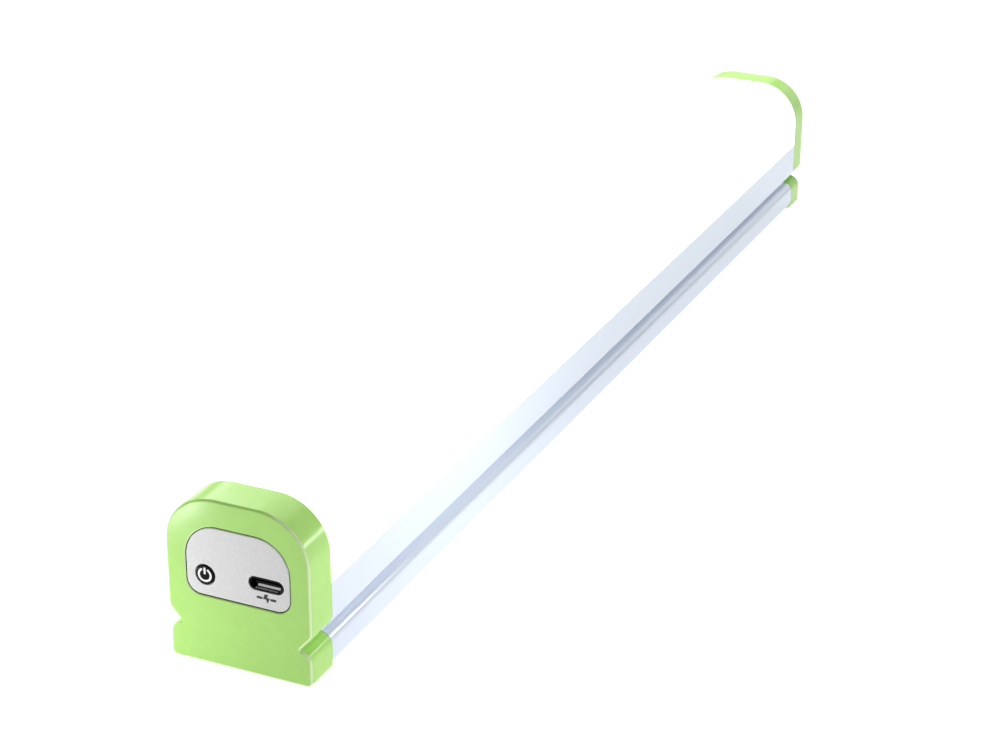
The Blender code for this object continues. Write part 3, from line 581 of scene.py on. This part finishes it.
def green_plastic():
    """Satin-gloss moulded plastic with a very fine spark grain."""
    material = grained("green_plastic", (0.45, 0.775, 0.20), (0.47, 0.805, 0.215), 0.25, 0.00025, 0.000004,
                       Specular_IOR_Level=0.08, Coat_Weight=0.33, Coat_Roughness=0.14)
    # Painted highlight: the rounded edges towards the right side are lightened in colour, as if catching
    # light
    paint_edge_highlights(material, (0.82, 1.0, 0.59), on_left=False)
    return material


def opal_plastic():
    """Opal diffuser, lit from inside: the lamp is on."""
    return grained("opal_plastic", (0.93, 0.93, 0.93), (0.96, 0.96, 0.96), 0.35, 0.0004, 0.000004,
                   Emission_Color=(1.0, 1.0, 0.995, 1.0), Emission_Strength=0.85)


def rail_paint():
    """Smooth pearly lavender coat on an extrusion, with very faint drawing lines along it."""
    material = new_material("rail_paint", 0.3, metallic=0.3)
    drawn = noise(material, 0.0007, 2.0, (1.0, 40.0, 1.0))
    colour_between(material, drawn, (0.70, 0.765, 0.868), (0.71, 0.775, 0.873))
    roughness_between(material, drawn, 0.29, 0.31)
    bump(material, noise(material, 0.0003), 0.0000003)
    return material


def panel_film():
    """Light grey film with a fine sandy print."""
    material = new_material("panel_film", 0.48, Specular_IOR_Level=0.4)
    sand = noise(material, 0.00022, GRAIN_DETAIL)
    colour_between(material, sand, (0.62, 0.62, 0.623), (0.80, 0.80, 0.803), 0.25, 0.75)
    bump(material, sand, 0.000008)
    # Painted highlight: both side edges of the panel are lightened in colour, as if catching light
    paint_edge_highlights(material, (0.96, 0.96, 0.96), on_left=True)
    return material


def black_plastic():
    return grained("black_plastic", (0.002, 0.002, 0.002), (0.004, 0.004, 0.004), 0.34, 0.0002, 0.000003,
                   Specular_IOR_Level=0.08)


def white_print():
    return grained("white_print", (0.86, 0.86, 0.86), (0.95, 0.95, 0.95), 0.5, 0.0001, 0.000002)


def dark_print():
    return grained("dark_print", (0.006, 0.006, 0.006), (0.015, 0.015, 0.015), 0.5, 0.0001, 0.000002)


def port_metal():
    return grained("port_metal", (0.006, 0.006, 0.006), (0.014, 0.014, 0.015), 0.35, 0.0001, 0.000003,
                   metallic=0.4, Specular_IOR_Level=0.2)


def rib_metal():
    return grained("rib_metal", (0.42, 0.42, 0.42), (0.52, 0.52, 0.52), 0.4, 0.00008, 0.000002)


def liner_with_painted_glow():
    """White liner in the port, with a faint painted glow that makes it look lit."""
    return grained("liner_with_painted_glow", (0.93, 0.93, 0.93), (0.98, 0.98, 0.98), 0.4, 0.0001, 0.000002,
                   Emission_Color=(1.0, 1.0, 1.0, 1.0), Emission_Strength=0.35)


def gold_plate():
    return grained("gold_plate", (0.60, 0.42, 0.12), (0.72, 0.52, 0.18), 0.28, 0.0001, 0.000002,
                   metallic=1.0)


def zinc_steel():
    """Zinc-plated steel with fine turning marks and dull patches."""
    return grained("zinc_steel", (0.50, 0.50, 0.51), (0.66, 0.66, 0.67), 0.3, 0.00012, 0.000004,
                   metallic=1.0)


# ---------------------------------------------------------------- housing pieces


def make_rail():
    """Make the rail: a U-shaped extrusion with clip grooves, a snap lip and a ledge on each side."""
    # The first four corners of the lamp's outline lie below the seam with the cover
    outside = lamp_outline(RAIL_FOOT_CORNER)
    inside = inset(outside, WALL)
    outer_right = [*outside[:4], (HALF_WIDTH, SEAM_Z, SEAM_RADIUS)]
    inner_right = [
        (RAIL_LIP_X, SEAM_Z, SEAM_RADIUS),
        (RAIL_LIP_X, SEAM_Z - RAIL_LIP_HEIGHT, SEAM_RADIUS),
        (RAIL_INNER_X, SEAM_Z - RAIL_LIP_HEIGHT, 0.0),
        (RAIL_INNER_X, CHANNEL_Z, 0.0),
        (LEDGE_OUTER_X, CHANNEL_Z, 0.0),
        (LEDGE_OUTER_X, LEDGE_Z, 0.0),
        (LEDGE_INNER_X, LEDGE_Z, 0.0),
        (LEDGE_INNER_X, CHANNEL_Z, 0.0),
        (LEDGE_OUTER_X, LEDGE_BOTTOM_Z, 0.0),
        (RAIL_INNER_X, LEDGE_BOTTOM_Z, 0.0),
        *reversed(inside[:4]),
    ]
    rail = prism("rail_shell", mirrored(outer_right + inner_right), BODY_START, BODY_END)
    for end in ("front", "rear"):
        for side in ("left", "right"):
            low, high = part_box(f"{end}_cap_screw_{side}")
            centre = (low + high) / 2
            bottom = Vector((centre.x, centre.y, -OVERSHOOT))
            through = Vector((centre.x, centre.y, WALL + OVERSHOOT))
            seat = Vector((centre.x, centre.y, COUNTERBORE_DEPTH))
            cut(rail, rod("screw_hole", bottom, through, SCREW_HOLE_RADIUS))
            cut(rail, rod("counterbore", bottom, seat, COUNTERBORE_RADIUS))
    place_piece(rail, rail_paint(), ["base_rail"])


def make_cover():
    """Make the opal cover: an arch with a hooked tongue that snaps into the rail on each side."""
    cover_bottom = SEAM_Z + GAP
    hook_top = SEAM_Z - RAIL_LIP_HEIGHT - GAP
    tongue_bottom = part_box("diffuser_cover")[0].z
    shelf_z = cover_bottom + WALL
    right_half = [
        (TONGUE_INNER_X, shelf_z, 0.0),
        (TONGUE_INNER_X, tongue_bottom, 0.0),
        (TONGUE_OUTER_X + TONGUE_HOOK, tongue_bottom, 0.0),
        (TONGUE_OUTER_X + TONGUE_HOOK, hook_top, 0.0),
        (TONGUE_OUTER_X, hook_top, 0.0),
        (TONGUE_OUTER_X, cover_bottom, 0.0),
        (HALF_WIDTH, cover_bottom, SEAM_RADIUS),
        (HALF_WIDTH, HEIGHT, TOP_RADIUS),
    ]
    inner_right = [
        (HALF_WIDTH - WALL, HEIGHT - WALL, TOP_RADIUS - WALL),
        (HALF_WIDTH - WALL, shelf_z, 0.0),
    ]
    inner_left = [(-x, z, radius) for x, z, radius in reversed(inner_right)]
    outline = mirrored(right_half) + inner_left + inner_right
    cover = prism("cover_shell", outline, BODY_START, BODY_END)
    place_piece(cover, opal_plastic(), ["diffuser_cover"])


def cap_block(name, end_y, joint_y):
    """Make a cap's solid block, with a rounded edge at its end and a fine edge at its joint."""
    outline = lamp_outline(CAP_FOOT_CORNER)
    inward = math.copysign(1.0, joint_y - end_y)
    sections = [
        (end_y + inward * depth, rounded(inset(outline, shrink)))
        for depth, shrink in edge_round(CAP_EDGE, CAP_EDGE_STEPS)
    ]
    sections.append((joint_y - inward * CAP_BACK_EDGE, rounded(outline)))
    sections.append((joint_y, rounded(inset(outline, CAP_BACK_EDGE))))
    return loft(name, sections)


def join_arch(cap, y_front, y_back):
    """Join the arch that carries the cover to a cap."""
    outline = lamp_outline(CAP_FOOT_CORNER)
    arch = prism("cap_arch", inset(outline, WALL + GAP), y_front, y_back)
    inner = inset(outline, WALL + GAP + ARCH_WALL)
    cut(arch, prism("cap_arch_inside", inner, y_front - OVERSHOOT, y_back + OVERSHOOT))
    low = (-HALF_WIDTH, y_front - OVERSHOOT, -OVERSHOOT)
    cut(arch, box("cap_arch_trim", low, (HALF_WIDTH, y_back + OVERSHOOT, ARCH_BOTTOM_Z)))
    join(cap, arch)


def join_spigot(cap, y_front, y_back, end):
    """Join the flat spigot that the rail's screws hold to a cap."""
    low = (-SPIGOT_HALF_WIDTH, y_front, WALL + GAP)
    join(cap, box("cap_spigot", low, (SPIGOT_HALF_WIDTH, y_back, SPIGOT_TOP_Z)))
    for side in ("left", "right"):
        screw_low, screw_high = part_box(f"{end}_cap_screw_{side}")
        centre = (screw_low + screw_high) / 2
        top = Vector((centre.x, centre.y, SPIGOT_TOP_Z + OVERSHOOT))
        cut(cap, rod("spigot_hole", Vector((centre.x, centre.y, 0.0)), top, SCREW_HOLE_RADIUS))


def flared_cutter(name, ring_at, y_front, y_back):
    """Make a cutter from the front, with a small chamfer at the mouth. ring_at gives its points, grown."""
    return loft(name, [
        (y_front - OVERSHOOT, ring_at(MOUTH_CHAMFER)),
        (y_front, ring_at(MOUTH_CHAMFER)),
        (y_front + MOUTH_CHAMFER, ring_at(0.0)),
        (y_back, ring_at(0.0)),
    ])


def make_front_cap(plastic):
    """Make the front cap: a hollow block with a panel recess, board posts, an arch and a spigot."""
    joint_y = RAIL_LOW.y - GAP
    cap = cap_block("front_cap_shell", FRONT_Y, joint_y)
    pocket_y = FRONT_Y + FRONT_FACE
    cut(cap, prism("pocket", inset(lamp_outline(CAP_FOOT_CORNER), CAP_WALL), pocket_y, joint_y + OVERSHOOT))

    def recess_ring(grow):
        return rounded(inset(panel_outline(), -RECESS_MARGIN - grow))

    cut(cap, flared_cutter("recess", recess_ring, FRONT_Y, PANEL_HIGH.y + GAP))
    join_arch(cap, joint_y - ARCH_REACH, BODY_START + ARCH_REACH)
    join_spigot(cap, pocket_y - JOIN_OVERLAP, CAP_HIGH.y, "front")
    for side in (-1, 1):
        root = Vector((side * BOARD_SCREW_CENTRE.x, pocket_y - JOIN_OVERLAP, BOARD_SCREW_CENTRE.z))
        tip = Vector((root.x, BOARD_FRONT_Y - GAP, root.z))
        beyond = Vector((0.0, OVERSHOOT, 0.0))
        join(cap, rod("board_post", root, tip, POST_RADIUS))
        cut(cap, rod("post_hole", root + beyond, tip + beyond, SCREW_HOLE_RADIUS))
    button_start = Vector((BUTTON_CENTRE.x, FRONT_Y, BUTTON_CENTRE.z))
    button_end = button_start + Vector((0.0, FRONT_FACE + OVERSHOOT, 0.0))
    cut(cap, rod("button_hole", button_start, button_end, BUTTON_RADIUS + GAP))
    cut(cap, prism("port_hole", slot_outline(GAP), FRONT_Y - OVERSHOOT, pocket_y + OVERSHOOT))
    place_piece(cap, plastic, ["front_cap"])


def make_rear_cap(plastic):
    """Make the rear cap: a shallower hollow block with a plain face, an arch and a spigot."""
    joint_y = RAIL_HIGH.y + GAP
    cap = cap_block("rear_cap_shell", REAR_Y, joint_y)
    pocket_y = REAR_Y - REAR_FACE
    cut(cap, prism("pocket", inset(lamp_outline(CAP_FOOT_CORNER), CAP_WALL), joint_y - OVERSHOOT, pocket_y))
    join_arch(cap, BODY_END - ARCH_REACH, joint_y + ARCH_REACH)
    join_spigot(cap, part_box("rear_cap")[0].y, pocket_y + JOIN_OVERLAP, "rear")
    place_piece(cap, plastic, ["rear_cap"])


def make_panel():
    """Make the panel plate, with a rounded edge, its button hole and its port slot."""
    outline = inset(panel_outline(), PANEL_MARGIN)
    sections = [
        (PANEL_LOW.y + depth, rounded(inset(outline, shrink)))
        for depth, shrink in edge_round(PANEL_EDGE, PANEL_EDGE_STEPS)
    ]
    sections.append((PANEL_HIGH.y, rounded(outline)))
    panel = loft("panel_plate", sections)

    def button_ring(grow):
        return circle(BUTTON_CENTRE, BUTTON_RADIUS + GAP / 2 + grow / 2)

    def port_ring(grow):
        return rounded(slot_outline(GAP / 2 + grow / 2))

    cut(panel, flared_cutter("button_hole", button_ring, PANEL_LOW.y, PANEL_HIGH.y + OVERSHOOT))
    cut(panel, flared_cutter("port_hole", port_ring, PANEL_LOW.y, PANEL_HIGH.y + OVERSHOOT))
    place_piece(panel, panel_film(), ["control_panel"])


def make_panel_gap_shade():
    """Make the thin black ring that fills the gap round the panel, a little below its face: a dark piece put
    there as painted shade for the shadow in the gap.
    """
    y_front, y_back = PANEL_LOW.y + GAP_SHADE_DEPTH, PANEL_HIGH.y
    outside = inset(panel_outline(), GAP_SHADE_CLEARANCE - RECESS_MARGIN)
    gap_shade = prism("panel_gap_shade", outside, y_front, y_back)
    inside = inset(panel_outline(), PANEL_MARGIN - GAP_SHADE_CLEARANCE)
    cut(gap_shade, prism("gap_shade_inside", inside, y_front - OVERSHOOT, y_back + OVERSHOOT))
    place_piece(gap_shade, black_plastic())


# ---------------------------------------------------------------- button, prints and port


def make_button():
    """Make the button with its round edge and its flange."""
    top = FRONT_Y - BUTTON_LOW.y - PRINT_THICKNESS
    flange_front = FRONT_Y - BUTTON_HIGH.y + BUTTON_FLANGE_THICKNESS
    flange_radius = (BUTTON_HIGH.x - BUTTON_LOW.x) / 2
    edge = edge_round(BUTTON_EDGE, BUTTON_EDGE_STEPS)
    rim = [(BUTTON_RADIUS - shrink, top - depth) for depth, shrink in edge]
    profile = [
        (0.0, top),
        *rim,
        (BUTTON_RADIUS, flange_front),
        (flange_radius, flange_front),
        (flange_radius, FRONT_Y - BUTTON_HIGH.y),
        (0.0, FRONT_Y - BUTTON_HIGH.y),
    ]
    place = (BUTTON_CENTRE.x, FRONT_Y, BUTTON_CENTRE.z)
    button = turned("button_cap", profile, place, (0.0, -1.0, 0.0))
    place_piece(button, black_plastic(), ["power_button"], "button")


def make_power_symbol():
    """Print the white power symbol on the button: an open ring with a bar in its gap."""
    centre = Vector((BUTTON_CENTRE.x, BUTTON_CENTRE.z))
    start = math.pi / 2 + POWER_GAP_ANGLE
    sweep = 2 * (math.pi - POWER_GAP_ANGLE)
    steps = round(sweep / ARC_STEP)
    turns = [start + sweep * step / steps for step in range(steps + 1)]
    ring = [centre + Vector((math.cos(turn), math.sin(turn))) * POWER_RING_RADIUS for turn in turns]
    bar = [centre + Vector((0.0, POWER_BAR_LOW)), centre + Vector((0.0, POWER_BAR_HIGH))]
    work = bmesh.new()
    for line in (ring, bar):
        points = stroke(line, POWER_LINE)
        add_loft(work, [(BUTTON_LOW.y, points), (BUTTON_LOW.y + 2 * PRINT_THICKNESS, points)])
    symbol = mesh_object("power_symbol", work)
    place_piece(symbol, white_print(), body="button")


def make_charge_mark():
    """Print a generic charging mark under the port: a small bolt between two dashes."""
    centre = Vector((PORT_CENTRE.x, PORT_CENTRE.z - CHARGE_MARK_DROP))
    bolt = [
        (0.3, -1.0), (1.0, 0.25), (0.15, 0.25), (0.6, 1.0), (-0.5, 1.0), (-1.0, -0.15), (-0.15, -0.15),
    ]
    outlines = [[centre + Vector((x * BOLT_HALF_WIDTH, z * BOLT_HALF_HEIGHT)) for x, z in bolt]]
    for side in (-1, 1):
        ends = [centre + Vector((side * reach, 0.0)) for reach in (CHARGE_DASH_NEAR, CHARGE_DASH_FAR)]
        outlines.append(stroke(ends, CHARGE_LINE))
    work = bmesh.new()
    for points in outlines:
        add_loft(work, [(PANEL_LOW.y - PRINT_THICKNESS, points), (PANEL_LOW.y + PRINT_THICKNESS, points)])
    place_piece(mesh_object("charge_mark", work), dark_print())


def make_port_shell():
    """Make the dark shell of the port, with a small chamfer at its mouth."""
    shell = prism("port_shell", slot_outline(), PORT_LOW.y, PORT_HIGH.y)

    def inner_ring(grow):
        return rounded(slot_outline(grow / 2 - PORT_WALL))

    cut(shell, flared_cutter("port_inside", inner_ring, PORT_LOW.y, PORT_HIGH.y - PORT_WALL))
    place_piece(shell, port_metal(), ["usb_port_shell"])


def make_port_tongue():
    """Make the tongue: a thin blade on a root that fills the back of the port."""
    tongue = prism("port_tongue", slot_outline(-PORT_WALL - GAP), PORT_TONGUE_ROOT_Y, PORT_TONGUE_HIGH.y)
    blade_outline = port_rectangle(BLADE_HALF_WIDTH, BLADE_HALF_HEIGHT, BLADE_CORNER)
    blade = loft("blade", [
        (PORT_TONGUE_LOW.y, rounded(inset(blade_outline, BLADE_EDGE))),
        (PORT_TONGUE_LOW.y + BLADE_EDGE, rounded(blade_outline)),
        (PORT_TONGUE_ROOT_Y + GAP, rounded(blade_outline)),
    ])
    join(tongue, blade)
    place_piece(tongue, black_plastic(), ["usb_port_tongue"])


def add_pin_row(work, half_width, y_pair, z_pair):
    """Add a row of small boxes across the port, one for each pin."""
    for index in range(PIN_COUNT):
        x = PORT_CENTRE.x + (index - (PIN_COUNT - 1) / 2) * PIN_PITCH
        low, high = zip((x - half_width, x + half_width), y_pair, z_pair)
        add_box(work, low, high)


def make_port_contacts():
    """Make the gold contacts on both faces of the tongue."""
    y_pair = (PORT_TONGUE_LOW.y + CONTACT_START, PORT_TONGUE_ROOT_Y)
    work = bmesh.new()
    for side in (-1, 1):
        surface = PORT_CENTRE.z + side * BLADE_HALF_HEIGHT
        z_pair = sorted((surface, surface + side * CONTACT_THICKNESS))
        add_pin_row(work, CONTACT_HALF_WIDTH, y_pair, z_pair)
    place_piece(mesh_object("port_contacts", work), gold_plate())


def make_port_ribs():
    """Make the short ribs along the lower wall of the port."""
    rib_y = PORT_LOW.y + MOUTH_CHAMFER
    y_pair = (rib_y, rib_y + RIB_LENGTH)
    z_pair = (PORT_FLOOR_Z, PORT_FLOOR_Z + RIB_HEIGHT)
    work = bmesh.new()
    add_pin_row(work, RIB_HALF_WIDTH, y_pair, z_pair)
    place_piece(mesh_object("port_ribs", work), rib_metal())


def make_port_liner():
    """Make the pale liner behind the ribs, which carries a painted glow."""
    liner_y = PORT_LOW.y + LINER_DEPTH
    low = (PORT_CENTRE.x - LINER_HALF_WIDTH, liner_y, PORT_FLOOR_Z)
    high = (PORT_CENTRE.x + LINER_HALF_WIDTH, liner_y + LINER_THICKNESS, PORT_FLOOR_Z + LINER_HEIGHT)
    liner = box("port_liner", low, high)
    place_piece(liner, liner_with_painted_glow())


# ---------------------------------------------------------------- screws


def make_screw(name, low, high, towards_head):
    """Make a pan-head screw with a tapered cross recess, in the box of its CAD node."""
    axis = Vector(towards_head)
    centre = (low + high) / 2
    reach = (high - low).dot(Vector([abs(part) for part in axis])) / 2
    head_top = centre + axis * reach
    head = [(HEAD_RADIUS - shrink, -depth) for depth, shrink in edge_round(HEAD_EDGE, HEAD_EDGE_STEPS)]
    length = 2 * reach
    profile = [
        (0.0, 0.0),
        *head,
        (HEAD_RADIUS, -HEAD_HEIGHT),
        (SHANK_RADIUS, -HEAD_HEIGHT),
        (SHANK_RADIUS, -length + POINT_LENGTH),
        (POINT_RADIUS, -length),
        (0.0, -length),
    ]
    screw = turned(name, profile, head_top, axis, SCREW_SIDES)
    turn = Vector((0.0, 0.0, 1.0)).rotation_difference(axis).to_matrix().to_4x4()
    place = Matrix.Translation(head_top) @ turn
    for length_axis in (0, 1):
        work = bmesh.new()
        half = [CROSS_HALF_WIDTH, CROSS_HALF_WIDTH, CROSS_DEPTH]
        half[length_axis] = CROSS_HALF_LENGTH
        add_box(work, [-part for part in half], half)
        for vert in work.verts:
            if vert.co.z < 0.0:
                vert.co[length_axis] *= CROSS_TAPER
        bmesh.ops.transform(work, matrix=place, verts=work.verts)
        cut(screw, mesh_object("cross_arm", work))
    return screw


def make_screws(steel):
    for side in ("left", "right"):
        for end in ("front", "rear"):
            node = f"{end}_cap_screw_{side}"
            screw = make_screw(f"{end}_screw_{side}_fine", *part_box(node), (0.0, 0.0, -1.0))
            place_piece(screw, steel, [node])
        node = f"board_screw_{side}"
        screw = make_screw(f"{node}_fine", *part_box(node), (0.0, 1.0, 0.0))
        place_piece(screw, steel, [node])


# ---------------------------------------------------------------- inner parts that keep their CAD meshes


def inner_finishes():
    """Make the finishes of the parts inside and return them by name."""
    return {
        "circuit": grained("circuit_green", (0.012, 0.11, 0.035), (0.02, 0.19, 0.07), 0.35, 0.0004, 0.00001),
        "led_white": grained("led_board_white", (0.80, 0.80, 0.78), (0.88, 0.88, 0.86),
                             0.45, 0.0003, 0.00001),
        "chip": grained("chip_black", (0.014, 0.014, 0.015), (0.03, 0.03, 0.03), 0.5, 0.0001, 0.000006),
        "nylon": grained("white_nylon", (0.76, 0.76, 0.74), (0.85, 0.85, 0.83), 0.45, 0.0002, 0.000006),
        "aluminium": grained("mill_aluminium", (0.60, 0.61, 0.63), (0.76, 0.77, 0.78), 0.38, 0.0002, 0.00001,
                             metallic=1.0, stretch=(1.0, 30.0, 1.0)),
        "ferrite": grained("ferrite_grey", (0.03, 0.03, 0.032), (0.07, 0.07, 0.072), 0.65, 0.0002, 0.00001),
        "wrap": grained("cell_wrap_blue", (0.02, 0.16, 0.42), (0.035, 0.21, 0.50), 0.25, 0.0008, 0.00001),
        "nickel": grained("nickel_strip", (0.55, 0.53, 0.49), (0.70, 0.68, 0.63), 0.32, 0.0002, 0.000006,
                          metallic=1.0),
        "foam": grained("foam_black", (0.02, 0.02, 0.02), (0.07, 0.07, 0.07), 0.9, 0.0003, 0.00006),
        "red": grained("red_insulation", (0.42, 0.012, 0.012), (0.58, 0.03, 0.025), 0.4, 0.0003, 0.000006),
        "black": grained("black_insulation", (0.01, 0.01, 0.01), (0.03, 0.03, 0.03), 0.42, 0.0003, 0.000006),
        "steel": grained("spring_steel", (0.52, 0.52, 0.53), (0.66, 0.66, 0.67), 0.28, 0.0001, 0.000004,
                         metallic=1.0),
    }


def inner_kinds():
    """Return the name of the finish of each CAD node that stays."""
    kinds = {
        "control_board": "circuit", "led_board": "led_white", "led_carrier": "aluminium",
        "charge_chip": "chip", "led_driver_chip": "chip", "inductor": "ferrite", "capacitor": "aluminium",
        "battery_connector": "nylon", "led_connector": "nylon",
        "switch_body": "chip", "switch_cover": "steel", "switch_plunger": "chip", "switch_dome": "steel",
        "battery_lead_positive": "red", "battery_lead_negative": "black",
        "led_lead_positive": "red", "led_lead_negative": "black",
    }
    for number in (1, 2, 3):
        kinds[f"battery_cell_{number}"] = "wrap"
        kinds[f"foam_pad_{number}"] = "foam"
        kinds[f"positive_tab_{number}"] = "nickel"
        kinds[f"negative_tab_{number}"] = "nickel"
    for number in (1, 2):
        kinds[f"cell_spacer_{number}"] = "nylon"
    return kinds


def dress_inner_parts():
    """Give each CAD node that stays its procedural finish."""
    finishes = inner_finishes()
    for node, kind in inner_kinds().items():
        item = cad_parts[node]
        item.data.materials.clear()
        item.data.materials.append(finishes[kind])


# ---------------------------------------------------------------- stage


def make_floor():
    work = bmesh.new()
    bmesh.ops.create_grid(work, x_segments=1, y_segments=1, size=FLOOR_SIZE)
    floor = mesh_object("floor", work)
    material = new_material("pale_floor", 0.7, Base_Color=(0.30, 0.30, 0.30, 1.0),
                            Emission_Color=(1.0, 1.0, 1.0, 1.0), Emission_Strength=FLOOR_GLOW,
                            Specular_IOR_Level=0.0)
    floor.data.materials.append(material)


def aim(item, place, target):
    """Put a light at a place, facing a target."""
    item.location = place
    item.rotation_mode = "QUATERNION"
    item.rotation_quaternion = (Vector(target) - Vector(place)).to_track_quat("-Z", "Y")


def make_softbox(name, place, target, width, height, power, spread):
    light = bpy.data.lights.new(name, "AREA")
    light.shape = "RECTANGLE"
    light.size = width
    light.size_y = height
    light.energy = power
    light.spread = math.radians(spread)
    item = bpy.data.objects.new(name, light)
    bpy.context.scene.collection.objects.link(item)
    item.visible_camera = False
    aim(item, place, target)


def make_world():
    """Light the lamp with a dim even sky, and show it as white behind the floor."""
    world = bpy.data.worlds.new("studio")
    world.use_nodes = True
    nodes = world.node_tree.nodes
    sky = nodes["Background"]
    sky.inputs["Strength"].default_value = SKY_LIGHT
    backdrop = nodes.new("ShaderNodeBackground")
    rays = nodes.new("ShaderNodeLightPath")
    chooser = nodes.new("ShaderNodeMixShader")
    for background in (sky, backdrop):
        background.inputs["Color"].default_value = (1.0, 1.0, 1.0, 1.0)
    links = world.node_tree.links
    links.new(rays.outputs["Is Camera Ray"], chooser.inputs["Fac"])
    links.new(sky.outputs["Background"], chooser.inputs[1])
    links.new(backdrop.outputs["Background"], chooser.inputs[2])
    links.new(chooser.outputs["Shader"], nodes["World Output"].inputs["Surface"])
    bpy.context.scene.world = world


def make_studio():
    """Set soft light over a glowing floor."""
    bpy.context.scene.view_settings.view_transform = "Standard"
    make_world()
    make_floor()
    for softbox in SOFTBOXES:
        make_softbox(*softbox)


def make_camera():
    camera = bpy.data.objects.new("camera", bpy.data.cameras.new("camera"))
    camera.data.lens = CAMERA_LENS
    camera.data.sensor_width = CAMERA_SENSOR
    camera.data.clip_start = CAMERA_NEAR
    camera.location = CAMERA_PLACE
    camera.rotation_mode = "QUATERNION"
    facing = Euler((math.pi / 2 - CAMERA_TILT_DOWN, 0.0, CAMERA_HEADING)).to_quaternion()
    camera.rotation_quaternion = facing @ Quaternion((0.0, 0.0, 1.0), CAMERA_ROLL)
    bpy.context.scene.collection.objects.link(camera)
    bpy.context.scene.camera = camera


make_camera()
make_studio()
CAP_PLASTIC = green_plastic()
STEEL = zinc_steel()
make_rail()
make_cover()
make_front_cap(CAP_PLASTIC)
make_rear_cap(CAP_PLASTIC)
make_panel()
make_panel_gap_shade()
make_button()
make_power_symbol()
make_charge_mark()
make_port_shell()
make_port_tongue()
make_port_contacts()
make_port_ribs()
make_port_liner()
make_screws(STEEL)
dress_inner_parts()
